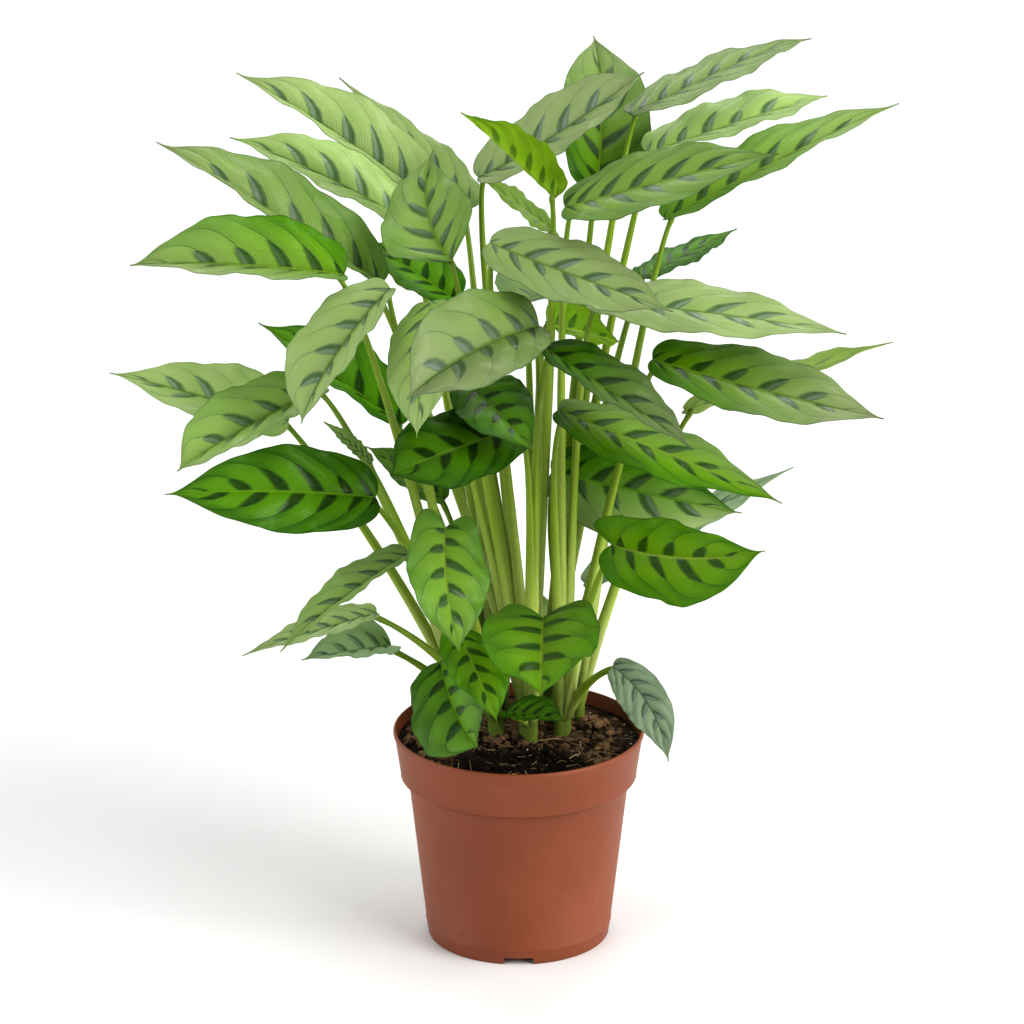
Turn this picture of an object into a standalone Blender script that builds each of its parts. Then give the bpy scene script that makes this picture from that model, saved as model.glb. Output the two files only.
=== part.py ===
"""A potted calathea at its real size.

Metres, +Z up, -Y towards the viewer. The origin is on the ground under the middle of the pot.
The pot, the soil and every leaf blade are pieces of their own. The stalks that rise from one
foot in the soil have grown together there, so each such shoot is one piece.
"""

import math

import bmesh
import bpy
import numpy as np

# Clearance between pieces that touch
GAP = 0.0003

# Pot, turned about Z
POT_SIDES = 48
POT_HEIGHT = 0.148
RIM_RADIUS = 0.085
LIP_RADIUS = 0.0835
LIP_DROP = 0.0015
BAND_BOTTOM = 0.117
BAND_RADIUS = 0.080
NECK_HEIGHT = 0.109
NECK_RADIUS = 0.0745
STEP_RISE = 0.0025
STEP_CURVE = ((0.0012, 0.0035), (0.0045, 0.0055))
BASE_RADIUS = 0.062
FOOT_CHAMFER = 0.001
WALL = 0.0018
FLOOR = 0.002
FLOOR_ROUND = 0.001
SKIRT_WIDTH = 0.003
SKIRT_HEIGHT = 0.0055
DISC_RADIUS = 0.028
DISC_SLOPE = 0.003
DISH_INSET = 0.001
SHARP_ANGLE = 35

# Notches in the skirt and drain holes in the raised floor, one of each on every side. The
# first notch faces the viewer, at NOTCH_START degrees about Z.
NOTCH_COUNT = 4
NOTCH_START = 270
NOTCH_WIDTH = 0.021
NOTCH_TOP_WIDTH = 0.019
NOTCH_HEIGHT = 0.005
CUT_PAST = 0.009
DRAIN_RADIUS = 0.0045
DRAIN_PLACE = 0.045

# Soil
SOIL_SIDES = 24
SOIL_TOP = 0.1385
SOIL_LUMP = 0.0016
SOIL_HOLLOW = 0.003
HOLLOW_PLACE = -0.012
HOLLOW_WIDTH = 0.028
SOIL_RINGS = (0.018, 0.036, 0.054, 0.069)
# Waves of the lumpy surface: height as a share of SOIL_LUMP, turns along X and Y in radians a
# metre, and where the wave starts
SOIL_WAVES = ((1.0, 95.0, 80.0, 1.1), (0.5, 60.0, 190.0, 0.0), (0.6, 150.0, -120.0, 2.3))

# Foot of a shoot, a stub in a plain hole in the soil: heights and radii
FOOT_SIDES = 12
FOOT_RADIUS = 0.009
FOOT_RINGS = ((0.1125, 0.0085), (0.1400, 0.0090), (0.1530, 0.0080), (0.1600, 0.0045))
HOLE_BOTTOM = 0.1120

# Stalks
STALK_SIDES = 6
STALK_STEPS = 7
STALK_START = 0.150
STALK_SPREAD = 0.0038
STALK_LOW = 0.0046
STALK_TOP = 0.0016
STALK_RISE = 0.35
STALK_NECK = 0.030
STALK_THINNING = (1.3, 1.5)
SEAT_ALONG = 0.03

# Leaf blades
BLADE_THICK = 0.0009
RIB_THICK = 0.0018
BLADE_ROWS = (0.04, 0.12, 0.24, 0.38, 0.52, 0.66, 0.79, 0.91)
BLADE_COLUMNS = (-1.0, -0.5, 0.0, 0.5, 1.0)
RIB_BENDS = (0.3, 0.7)
TIP_SHARPNESS = 1.25
LOBE_REACH = 0.30
LOBE_CURVE = 1.5
WAVES = 3.2
WAVE_FADE = 1.6
WAVE_OFFSET = 1.3
PHASE_STEP = 0.37
SMALL_STEP = 0.002

# Form of a leaf where its own line says nothing else. arch and sweep bend the midrib towards
# the leaf's face and sideways, as shares of its length. widest is where the blade is widest,
# taper how full it stays towards the tip, lobe how far its halves reach back past the stalk.
# fold lifts both halves from the midrib, cup bends them back down, in degrees. wave is the
# height of the margin's waves as a share of the width. bow lifts the stalk's start towards
# the upright, and turn bends the stalk's neck into the line of the blade.
LEAF_FORM = dict(arch=(0.0, 0.02), sweep=0.0, widest=0.42, taper=1.75, lobe=0.04, cup=-20.0,
                 wave=0.03, bow=0.4, turn=0.5, tone="fresh")

# Feet of the shoots in the soil
FEET = {
    "front_left": (-0.013, 0.014),
    "left": (-0.032, 0.029),
    "rear_left": (-0.012, 0.051),
    "front": (0.008, 0.006),
    "centre": (0.008, 0.032),
    "front_right": (0.028, 0.016),
    "right": (0.037, 0.038),
    "rear_right": (0.016, 0.054),
}


def leaf(name, shoot, join, tip, width, roll, fold, **more):
    """A leaf from where its stalk joins it to its tip, turned by roll degrees about that line."""
    return dict(LEAF_FORM, name="leaf_" + name, shoot=shoot, join=join, tip=tip, width=width,
                roll=roll, fold=fold, **more)


LEAVES = [
    leaf("left_top_long", "rear_left", (-0.063, 0.075, 0.501), (-0.188, 0.090, 0.582),
         0.062, 25, 48, arch=(0.02, 0.03)),
    leaf("left_top_rear", "rear_left", (-0.034, 0.120, 0.478), (-0.122, 0.170, 0.557),
         0.056, 0, 22, widest=0.24, taper=1.5),
    leaf("left_upper_long", "centre", (-0.092, 0.024, 0.455), (-0.238, 0.024, 0.553),
         0.068, 20, 42, arch=(0.01, 0.02), taper=2.0),
    leaf("left_upper_rear", "rear_left", (-0.073, 0.105, 0.473), (-0.195, 0.120, 0.529),
         0.058, 20, 35, arch=(0.04, 0.05)),
    leaf("left_upper_front", "left", (-0.114, -0.025, 0.477), (-0.253, -0.040, 0.488),
         0.068, 30, 46, arch=(0.03, 0.05), taper=2.2),
    leaf("left_upright", "centre", (-0.044, -0.020, 0.484), (-0.057, 0.075, 0.533),
         0.070, 25, 30, sweep=0.13, widest=0.24, lobe=-0.06),
    leaf("left_inner", "rear_left", (-0.042, 0.030, 0.442), (-0.101, 0.066, 0.472),
         0.048, 20, 30, tone="deep"),
    leaf("left_hanging", "left", (-0.084, -0.030, 0.469), (-0.141, -0.095, 0.398),
         0.060, 0, 38, sweep=-0.08, widest=0.52, taper=2.3, turn=0.0, tone="pale"),
    leaf("left_middle_rear", "rear_left", (-0.078, 0.028, 0.355), (-0.174, 0.050, 0.420),
         0.060, 20, 42, tone="deep"),
    leaf("left_middle_far", "left", (-0.154, 0.025, 0.359), (-0.274, 0.040, 0.388),
         0.056, 35, 30, widest=0.30, tone="pale"),
    leaf("left_middle_near", "left", (-0.129, -0.015, 0.395), (-0.224, -0.060, 0.353),
         0.058, 20, 40, arch=(0.03, 0.05), widest=0.55, taper=2.6),
    leaf("left_broad", "front_left", (-0.094, -0.055, 0.333), (-0.231, -0.080, 0.344),
         0.062, 53, 22, arch=(0.08, 0.09), tone="deep"),
    leaf("left_young", "left", (-0.097, -0.022, 0.346), (-0.128, -0.030, 0.377), 0.014, 35, 20),
    leaf("left_small_inner", "rear_left", (-0.050, 0.056, 0.292), (-0.103, 0.066, 0.327),
         0.034, 25, 25),
    leaf("left_low_long", "front_left", (-0.073, -0.062, 0.296), (-0.157, -0.090, 0.238),
         0.036, 10, 38, arch=(0.03, 0.05)),
    leaf("left_low_slim", "front_left", (-0.095, -0.020, 0.239), (-0.184, -0.045, 0.218),
         0.032, 10, 25, widest=0.30, tone="pale"),
    leaf("left_low_pale", "left", (-0.086, 0.005, 0.206), (-0.145, -0.035, 0.211),
         0.044, 20, 38, widest=0.30, tone="pale"),
    leaf("centre_glossy", "front", (0.013, -0.060, 0.453), (-0.071, -0.150, 0.433),
         0.076, 36, 40, arch=(0.04, 0.04), sweep=-0.05, widest=0.52, taper=2.4, lobe=0.02,
         tone="pale"),
    leaf("centre_left", "front", (-0.058, -0.035, 0.461), (-0.066, -0.115, 0.395),
         0.054, -20, 10, turn=0.0, tone="pale"),
    leaf("centre_forward", "front", (-0.032, -0.045, 0.409), (0.009, -0.125, 0.389),
         0.050, -20, 25, tone="deep"),
    leaf("centre_dark", "front", (0.003, -0.066, 0.387), (-0.083, -0.124, 0.373),
         0.060, 30, 15, widest=0.55, taper=3.0, tone="deep"),
    leaf("front_hanging", "front_left", (-0.048, -0.075, 0.319), (-0.038, -0.140, 0.255),
         0.058, 15, 20, sweep=-0.06, lobe=0.18),
    leaf("front_lower", "front_left", (-0.040, -0.070, 0.245), (-0.014, -0.130, 0.204),
         0.046, 10, 15),
    leaf("front_heart", "front", (0.016, -0.067, 0.253), (0.014, -0.166, 0.237),
         0.082, -4, 28, taper=2.6, lobe=0.16),
    leaf("front_rim_left", "front_left", (-0.052, -0.050, 0.215), (-0.027, -0.110, 0.178),
         0.062, -55, 32, sweep=-0.08, widest=0.60, taper=3.4, tone="deep"),
    leaf("front_curled", "front", (-0.008, -0.020, 0.168), (0.031, -0.055, 0.175),
         0.032, -15, 32, tone="deep"),
    leaf("front_rim_right", "front_right", (0.063, -0.020, 0.200), (0.100, -0.045, 0.141),
         0.034, -75, 15, sweep=0.16, tone="pale"),
    leaf("right_bright", "front_right", (0.061, -0.050, 0.298), (0.159, -0.120, 0.319),
         0.066, -100, 23, arch=(0.04, 0.04), sweep=-0.06, lobe=0.14),
    leaf("right_dark", "right", (0.022, 0.024, 0.323), (0.149, 0.000, 0.302),
         0.068, -88, 28, tone="deep"),
    leaf("right_low_rear", "right", (0.045, 0.060, 0.231), (0.187, 0.075, 0.309),
         0.044, -10, 15, tone="pale"),
    leaf("right_middle_near", "front_right", (0.026, -0.062, 0.396), (0.171, -0.100, 0.345),
         0.060, -15, 12),
    leaf("right_hanging", "front", (0.018, -0.075, 0.442), (0.112, -0.130, 0.392),
         0.052, -5, 30, tone="deep"),
    leaf("right_middle_far", "front_right", (0.088, -0.020, 0.417), (0.239, -0.050, 0.386),
         0.062, -25, 20, arch=(-0.02, -0.02), widest=0.48, taper=1.9),
    leaf("right_middle_rear", "right", (0.111, 0.030, 0.365), (0.252, 0.070, 0.400),
         0.046, 40, 15, tone="pale"),
    leaf("centre_right_broad", "centre", (-0.019, -0.040, 0.503), (0.099, -0.090, 0.472),
         0.056, -25, 15, arch=(-0.02, 0.0), taper=2.0, tone="pale"),
    leaf("right_upper_long", "front_right", (0.047, -0.010, 0.456), (0.214, -0.040, 0.441),
         0.062, -15, 15),
    leaf("centre_inner", "centre", (0.019, 0.035, 0.425), (0.067, -0.015, 0.427),
         0.044, 60, 32),
    leaf("right_upper_small", "rear_right", (0.080, 0.030, 0.458), (0.147, 0.095, 0.472),
         0.036, 5, 12, tone="deep"),
    leaf("right_top_near", "front_right", (0.030, -0.025, 0.523), (0.166, -0.070, 0.572),
         0.058, -30, 18),
    leaf("right_top_long", "right", (0.096, 0.016, 0.503), (0.250, 0.036, 0.576),
         0.058, -10, 30),
    leaf("right_top_middle", "rear_right", (0.086, 0.055, 0.537), (0.208, 0.120, 0.558),
         0.054, -5, 25, widest=0.50, taper=2.4),
    leaf("right_top_high", "rear_right", (0.074, 0.050, 0.565), (0.196, 0.115, 0.599),
         0.050, 0, 15, arch=(0.0, 0.06), taper=2.2),
    leaf("top_pale", "centre", (-0.027, 0.040, 0.524), (0.082, 0.040, 0.596),
         0.054, -30, 30, arch=(-0.07, -0.04), widest=0.52, taper=2.3, tone="pale"),
    leaf("top_folded", "centre", (0.024, -0.005, 0.524), (-0.037, -0.055, 0.595),
         0.042, -10, 58),
    leaf("top_tall", "rear_right", (0.051, 0.065, 0.506), (0.051, 0.160, 0.589),
         0.066, -15, 30, sweep=-0.05, taper=2.4),
    leaf("top_rear_small", "centre", (0.025, 0.060, 0.481), (-0.026, 0.125, 0.499),
         0.034, -60, 12, tone="pale"),
    leaf("back_left", "rear_left", (-0.036, 0.094, 0.300), (-0.066, 0.188, 0.300),
         0.056, 0, 20),
    leaf("back_upper", "rear_right", (0.006, 0.070, 0.428), (0.020, 0.190, 0.417),
         0.056, 0, 20),
    leaf("back_right", "rear_right", (0.058, 0.065, 0.336), (0.098, 0.180, 0.271),
         0.058, 0, 20),
    leaf("back_low", "rear_left", (-0.002, 0.092, 0.208), (0.010, 0.180, 0.140),
         0.052, 0, 20),
]

# Colour, roughness and metallic value of each finish
FINISHES = {
    "terracotta": ((0.440, 0.140, 0.075), 0.55, 0.0),
    "peat": ((0.030, 0.018, 0.011), 0.95, 0.0),
    "stalk": ((0.270, 0.380, 0.095), 0.45, 0.0),
    "fresh": ((0.170, 0.330, 0.040), 0.35, 0.0),
    "deep": ((0.070, 0.200, 0.020), 0.35, 0.0),
    "pale": ((0.260, 0.400, 0.140), 0.40, 0.0),
}


def clear_scene():
    """Starts from an empty scene."""
    for thing in list(bpy.data.objects):
        bpy.data.objects.remove(thing, do_unlink=True)


def finish_material(name):
    """The Principled material of a finish."""
    found = bpy.data.materials.get(name)
    if found:
        return found
    colour, roughness, metallic = FINISHES[name]
    material = bpy.data.materials.new(name)
    material.use_nodes = True
    shader = material.node_tree.nodes["Principled BSDF"]
    shader.inputs["Base Color"].default_value = (*colour, 1.0)
    shader.inputs["Roughness"].default_value = roughness
    shader.inputs["Metallic"].default_value = metallic
    return material


def new_piece(name, points, faces, finish):
    """A closed mesh object with its faces pointing out."""
    mesh = bpy.data.meshes.new(name)
    mesh.from_pydata([tuple(point) for point in points], [], faces)
    skin = bmesh.new()
    skin.from_mesh(mesh)
    bmesh.ops.recalc_face_normals(skin, faces=skin.faces)
    skin.to_mesh(mesh)
    skin.free()
    smooth(mesh)
    piece = bpy.data.objects.new(name, mesh)
    piece.data.materials.append(finish_material(finish))
    bpy.context.scene.collection.objects.link(piece)
    return piece


def smooth(mesh):
    """Shades a mesh smooth, but for its sharp edges."""
    mesh.shade_smooth()
    mesh.set_sharp_from_angle(angle=math.radians(SHARP_ANGLE))


def bridge(first, second):
    """Quads between two closed rings of point numbers."""
    count = len(first)
    return [(first[k], first[(k + 1) % count], second[(k + 1) % count], second[k])
            for k in range(count)]


def turned_mesh(profile, sides):
    """Points and faces of a profile of (radius, height) turned about Z.

    The profile runs from a point on the axis to another, so the mesh is closed."""
    points = [(0.0, 0.0, profile[0][1])]
    faces = []
    rings = []
    for radius, height in profile[1:-1]:
        ring = []
        for k in range(sides):
            turn = 2 * math.pi * k / sides
            ring.append(len(points))
            points.append((radius * math.cos(turn), radius * math.sin(turn), height))
        rings.append(ring)
    last = len(points)
    points.append((0.0, 0.0, profile[-1][1]))
    for lower, upper in zip(rings, rings[1:]):
        faces += bridge(lower, upper)
    for k in range(sides):
        faces.append((0, rings[0][k], rings[0][(k + 1) % sides]))
        faces.append((last, rings[-1][k], rings[-1][(k + 1) % sides]))
    return points, faces


def cut(piece, cutter):
    """Cuts the cutter's shape out of a piece and removes the cutter."""
    step = piece.modifiers.new("cut", "BOOLEAN")
    step.operation = "DIFFERENCE"
    step.solver = "EXACT"
    step.object = cutter
    apply_modifiers(piece)
    bpy.data.objects.remove(cutter, do_unlink=True)


def apply_modifiers(piece):
    """Turns a piece's evaluated mesh into its own mesh."""
    graph = bpy.context.evaluated_depsgraph_get()
    made = bpy.data.meshes.new_from_object(piece.evaluated_get(graph))
    piece.modifiers.clear()
    piece.data = made
    smooth(made)


def inside_profile():
    """The pot's inner wall, from its floor up to its lip, as (radius, height)."""
    floor = SKIRT_HEIGHT + FLOOR
    return [
        (BASE_RADIUS - WALL - FLOOR_ROUND, floor),
        (BASE_RADIUS - WALL, floor + FLOOR_ROUND),
        (NECK_RADIUS - WALL, NECK_HEIGHT + STEP_RISE),
        (BAND_RADIUS - WALL, BAND_BOTTOM),
        (RIM_RADIUS - WALL, POT_HEIGHT - LIP_DROP),
    ]


def build_pot():
    """The plant pot: a turned shell on a skirt, with a flat disc in the middle of its foot."""
    underside = [
        (0.0, 0.0),
        (DISC_RADIUS, 0.0),
        (DISC_RADIUS + DISC_SLOPE, SKIRT_HEIGHT),
        (BASE_RADIUS - SKIRT_WIDTH - FOOT_CHAMFER, SKIRT_HEIGHT),
        (BASE_RADIUS - SKIRT_WIDTH, 0.0),
    ]
    outside = [
        (BASE_RADIUS - FOOT_CHAMFER, 0.0),
        (BASE_RADIUS, FOOT_CHAMFER),
        (NECK_RADIUS, NECK_HEIGHT),
        *((NECK_RADIUS + out, NECK_HEIGHT + up) for out, up in STEP_CURVE),
        (BAND_RADIUS, BAND_BOTTOM),
        (RIM_RADIUS, POT_HEIGHT - LIP_DROP),
        ((RIM_RADIUS + LIP_RADIUS) / 2, POT_HEIGHT - LIP_DROP / 4),
        (LIP_RADIUS, POT_HEIGHT),
    ]
    inside = list(reversed(inside_profile()))
    dish = [
        (DISC_RADIUS + DISC_SLOPE - DISH_INSET, SKIRT_HEIGHT + FLOOR),
        (DISC_RADIUS - DISH_INSET, FLOOR),
        (0.0, FLOOR),
    ]
    points, faces = turned_mesh(underside + outside + inside + dish, POT_SIDES)
    pot = new_piece("pot", points, faces, "terracotta")
    for number in range(NOTCH_COUNT):
        turn = math.radians(NOTCH_START + 360 * number / NOTCH_COUNT)
        cut(pot, notch_cutter(turn))
        cut(pot, drain_cutter(turn + math.pi / NOTCH_COUNT))


def notch_cutter(turn):
    """A flat-topped slot through the skirt, with its length along the turn's direction."""
    low, high = NOTCH_WIDTH / 2, NOTCH_TOP_WIDTH / 2
    outline = [(-low, -NOTCH_HEIGHT), (low, -NOTCH_HEIGHT), (low, 0.0), (high, NOTCH_HEIGHT),
               (-high, NOTCH_HEIGHT), (-low, 0.0)]
    ahead = np.array([math.cos(turn), math.sin(turn), 0.0])
    aside = np.array([-math.sin(turn), math.cos(turn), 0.0])
    up = np.array([0.0, 0.0, 1.0])
    count = len(outline)
    points = [reach * ahead + across * aside + height * up
              for reach in (BASE_RADIUS - CUT_PAST, BASE_RADIUS + CUT_PAST)
              for across, height in outline]
    near = list(range(count))
    far = list(range(count, 2 * count))
    faces = bridge(near, far) + [tuple(near), tuple(far)]
    return new_piece("notch_cutter", points, faces, "terracotta")


def drain_cutter(turn):
    """A round plug through the raised floor."""
    profile = [(0.0, -CUT_PAST), (DRAIN_RADIUS, -CUT_PAST), (DRAIN_RADIUS, 2 * CUT_PAST),
               (0.0, 2 * CUT_PAST)]
    points, faces = turned_mesh(profile, FOOT_SIDES)
    place = DRAIN_PLACE * np.array([math.cos(turn), math.sin(turn), 0.0])
    return new_piece("drain_cutter", [np.array(point) + place for point in points], faces,
                     "terracotta")


def soil_height(x, y):
    """Height of the lumpy soil, with a shallow hollow among the shoots."""
    lumps = sum(share * math.sin(turn_x * x + turn_y * y + start)
                for share, turn_x, turn_y, start in SOIL_WAVES)
    hollow = math.exp(-(x ** 2 + (y - HOLLOW_PLACE) ** 2) / HOLLOW_WIDTH ** 2)
    return SOIL_TOP + SOIL_LUMP * lumps - SOIL_HOLLOW * hollow


def build_soil():
    """The root ball: it fills the pot, and has a plain hole for the foot of each shoot."""
    wall = inside_profile()
    below, above = wall[-2], wall[-1]
    share = (SOIL_TOP - below[1]) / (above[1] - below[1])
    edge = below[0] + share * (above[0] - below[0]) - GAP
    profile = [(0.0, FLOOR + GAP), (DISC_RADIUS - DISH_INSET - GAP, FLOOR + GAP),
               (DISC_RADIUS + DISC_SLOPE - DISH_INSET, wall[0][1] + GAP)]
    profile += [(radius - GAP, height + GAP) for radius, height in wall[:-1]]
    profile += [(edge, SOIL_TOP)]
    profile += [(radius, SOIL_TOP) for radius in reversed(SOIL_RINGS)]
    profile += [(0.0, SOIL_TOP)]
    points, faces = turned_mesh(profile, SOIL_SIDES)
    top = SOIL_SIDES * len(SOIL_RINGS) + 1
    for number in range(len(points) - top, len(points)):
        x, y, _ = points[number]
        points[number] = (x, y, soil_height(x, y))
    soil = new_piece("soil", points, faces, "peat")
    for foot in FEET.values():
        reach = FOOT_RADIUS + GAP
        plug = [(0.0, HOLE_BOTTOM), (reach, HOLE_BOTTOM), (reach, POT_HEIGHT), (0.0, POT_HEIGHT)]
        plug_points, plug_faces = turned_mesh(plug, FOOT_SIDES)
        moved = [(x + foot[0], y + foot[1], z) for x, y, z in plug_points]
        cut(soil, new_piece("hole_cutter", moved, plug_faces, "peat"))
    return soil


def unit(vector):
    return vector / np.linalg.norm(vector)


def leaf_axes(form):
    """Where a leaf starts and ends, and its directions: ahead, out of its face, to its side."""
    join = np.array(form["join"])
    tip = np.array(form["tip"])
    ahead = unit(tip - join)
    up = np.array([0.0, 0.0, 1.0])
    level = unit(up - ahead * (up @ ahead))
    across = np.cross(level, ahead)
    roll = math.radians(form["roll"])
    face = level * math.cos(roll) + across * math.sin(roll)
    return join, tip, ahead, face, np.cross(face, ahead)


def half_outline(form, along):
    """Half width of the blade, as a share of its greatest, from the join to the tip."""
    widest = form["widest"]
    back = np.sqrt(np.clip(1 - ((widest - along) / widest) ** 2, 0, 1))
    ahead = np.clip((along - widest) / (1 - widest), 0, 1)
    front = (1 - ahead ** form["taper"]) ** TIP_SHARPNESS
    return np.where(along < widest, back, front)


def midrib(form, along):
    """Place, direction, face normal and side direction of the midrib at the shares along it."""
    join, tip, ahead, face, side = leaf_axes(form)
    length = np.linalg.norm(tip - join)
    rise, drop = form["arch"]
    one = join + length * (RIB_BENDS[0] * ahead + rise * face + form["sweep"] * side)
    two = join + length * (RIB_BENDS[1] * ahead + drop * face + form["sweep"] * side)
    along = np.asarray(along, float)[..., None]
    inner = np.clip(along, 0, None)
    rest = 1 - inner
    place = rest ** 3 * join + 3 * inner * rest ** 2 * one + 3 * inner ** 2 * rest * two
    place = place + inner ** 3 * tip
    speed = 3 * rest ** 2 * (one - join) + 6 * inner * rest * (two - one)
    speed = speed + 3 * inner ** 2 * (tip - two)
    place = place + (along - inner) * speed
    tangent = speed / np.linalg.norm(speed, axis=-1, keepdims=True)
    normal = face - tangent * (tangent @ face)[..., None]
    normal = normal / np.linalg.norm(normal, axis=-1, keepdims=True)
    return place, tangent, normal, np.cross(normal, tangent)


def blade_surface(form, along, aside):
    """Points of the blade's upper face: along runs from join to tip, aside from -1 to 1."""
    along, aside = np.broadcast_arrays(np.asarray(along, float), np.asarray(aside, float))
    near = np.clip(along / LOBE_REACH, 0, 1)
    back = form["lobe"] * np.sin(np.pi * np.sqrt(near)) * np.abs(aside) ** LOBE_CURVE
    place, _, normal, across = midrib(form, along - back)
    outline = half_outline(form, along)
    reach = np.abs(aside) * form["width"] / 2 * outline
    angle = math.radians(form["fold"]) + math.radians(form["cup"]) * np.abs(aside) / 2
    turns = 2 * np.pi * (WAVES * along + form["phase"]) + WAVE_OFFSET * np.sign(aside)
    wave = form["wave"] * form["width"] * aside ** 2 * np.sin(turns)
    wave = wave * np.clip(WAVE_FADE * outline, 0, 1)
    point = place + across * (np.sign(aside) * reach * np.cos(angle))[..., None]
    return point + normal * (reach * np.sin(angle) + wave)[..., None]


def blade_normal(form, along, aside):
    """Normal of the upper face, from two short steps on it."""
    if aside == 0.0:
        return midrib(form, along)[2]
    lengthways = (blade_surface(form, along + SMALL_STEP, aside)
                  - blade_surface(form, along - SMALL_STEP, aside))
    sideways = (blade_surface(form, along, aside + SMALL_STEP)
                - blade_surface(form, along, aside - SMALL_STEP))
    return unit(np.cross(lengthways, sideways))


def build_blade(form):
    """A leaf blade: an upper and a lower face split alike into triangles, and a rim."""
    middle = len(BLADE_COLUMNS) // 2
    rows = []
    points = []
    for along in BLADE_ROWS:
        row = []
        for aside in BLADE_COLUMNS:
            top = blade_surface(form, along, aside)
            thick = RIB_THICK if aside == 0.0 else BLADE_THICK
            row.append(len(points))
            points.append(top)
            points.append(top - blade_normal(form, along, aside) * thick)
        rows.append(row)
    ends = []
    for along in (0.0, 1.0):
        place, _, normal, _ = midrib(form, along)
        ends.append(len(points))
        points.append(place)
        points.append(place - normal * BLADE_THICK)
    upper = []
    for low, high in zip(rows, rows[1:]):
        for k in range(len(low) - 1):
            corners = (low[k], low[k + 1], high[k + 1], high[k])
            first = 0 if k < middle else 1
            turned = corners[first:] + corners[:first]
            upper.append((turned[0], turned[1], turned[2]))
            upper.append((turned[0], turned[2], turned[3]))
    for k in range(len(BLADE_COLUMNS) - 1):
        upper.append((ends[0], rows[0][k + 1], rows[0][k]))
        upper.append((ends[1], rows[-1][k], rows[-1][k + 1]))
    lower = [tuple(number + 1 for number in face) for face in upper]
    rim = [ends[0]] + [row[0] for row in rows] + [ends[1]] + [row[-1] for row in reversed(rows)]
    walls = []
    for here, there in zip(rim, rim[1:] + rim[:1]):
        walls.append((here, there, there + 1))
        walls.append((here, there + 1, here + 1))
    return new_piece(form["name"], points, upper + lower + walls, form["tone"])


def seat_depth(form, way, normal, across):
    """How far under the blade's face the middle of a stalk's end lies when it comes along way.

    The blade folds up from its rib, so the end's sides have more room than its middle."""
    slope = math.tan(math.radians(form["fold"] + form["cup"] * BLADE_COLUMNS[-2] / 2))
    first = unit(normal - way * (way @ normal))
    second = np.cross(way, first)
    rise = 0.0
    for k in range(FOOT_SIDES):
        turn = 2 * math.pi * k / FOOT_SIDES
        spoke = STALK_TOP * (first * math.cos(turn) + second * math.sin(turn))
        rise = max(rise, float(spoke @ normal) - slope * abs(float(spoke @ across)))
    thick = BLADE_THICK + (RIB_THICK - BLADE_THICK) * SEAT_ALONG / BLADE_ROWS[0]
    return thick + GAP + rise


def stalk_route(form, start):
    """Centre points and radii of a stalk, from inside its foot to just under its blade, and
    the way out of the blade's face there.

    The stalk is thick in its sheath and thins above it, and its neck turns with the blade."""
    place, tangent, normal, across = midrib(form, SEAT_ALONG)
    way = unit(place - start)
    arrive = unit(way + form["turn"] * tangent)
    seat = place - normal * seat_depth(form, arrive, normal, across)
    height = np.linalg.norm(seat - start)
    one = start + height * STALK_RISE * unit(way + form["bow"] * np.array([0.0, 0.0, 1.0]))
    two = seat - min(STALK_NECK, STALK_RISE * height) * arrive
    route = []
    for share in np.linspace(0.0, 1.0, STALK_STEPS + 1):
        rest = 1 - share
        point = rest ** 3 * start + 3 * share * rest ** 2 * one
        point = point + 3 * share ** 2 * rest * two + share ** 3 * seat
        sheath = (1 - share ** STALK_THINNING[0]) ** STALK_THINNING[1]
        route.append((point, STALK_TOP + (STALK_LOW - STALK_TOP) * sheath))
    return route, normal


def tube_mesh(route, towards, sides):
    """Points and faces of a closed tube along a route of (point, radius).

    One of its long edges ends on the side that the direction towards points to."""
    places = [place for place, _ in route]
    ways = [unit(places[min(k + 1, len(places) - 1)] - places[max(k - 1, 0)])
            for k in range(len(places))]
    across = towards
    points = []
    rings = []
    for (place, radius), way in zip(reversed(route), reversed(ways)):
        across = unit(across - way * (across @ way))
        aside = np.cross(way, across)
        ring = []
        for k in range(sides):
            turn = 2 * math.pi * k / sides
            ring.append(len(points))
            points.append(place + radius * (across * math.cos(turn) + aside * math.sin(turn)))
        rings.append(ring)
    faces = []
    for lower, upper in zip(rings, rings[1:]):
        faces += bridge(lower, upper)
    return points, faces + [tuple(rings[0]), tuple(rings[-1])]


def build_shoot(shoot):
    """A foot in the soil with the stalks of its leaves, joined in one solid."""
    foot = FEET[shoot]
    grown = [form for form in LEAVES if form["shoot"] == shoot]
    profile = [(0.0, FOOT_RINGS[0][0])] + [(radius, height) for height, radius in FOOT_RINGS]
    profile.append((0.0, FOOT_RINGS[-1][0]))
    points, faces = turned_mesh(profile, FOOT_SIDES)
    body = new_piece("shoot_" + shoot, [(x + foot[0], y + foot[1], z) for x, y, z in points],
                     faces, "stalk")
    stalks = bpy.data.collections.new("stalks")
    bpy.context.scene.collection.children.link(stalks)
    for form in grown:
        away = np.array(form["join"][:2]) - np.array(foot)
        away = STALK_SPREAD * away / np.linalg.norm(away)
        start = np.array([foot[0] + away[0], foot[1] + away[1], STALK_START])
        route, towards = stalk_route(form, start)
        points, faces = tube_mesh(route, towards, STALK_SIDES)
        stalk = new_piece("stalk", points, faces, "stalk")
        bpy.context.scene.collection.objects.unlink(stalk)
        stalks.objects.link(stalk)
    step = body.modifiers.new("join", "BOOLEAN")
    step.operation = "UNION"
    step.solver = "EXACT"
    step.operand_type = "COLLECTION"
    step.collection = stalks
    apply_modifiers(body)
    for stalk in list(stalks.objects):
        bpy.data.objects.remove(stalk, do_unlink=True)
    bpy.data.collections.remove(stalks)
    return body


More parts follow.
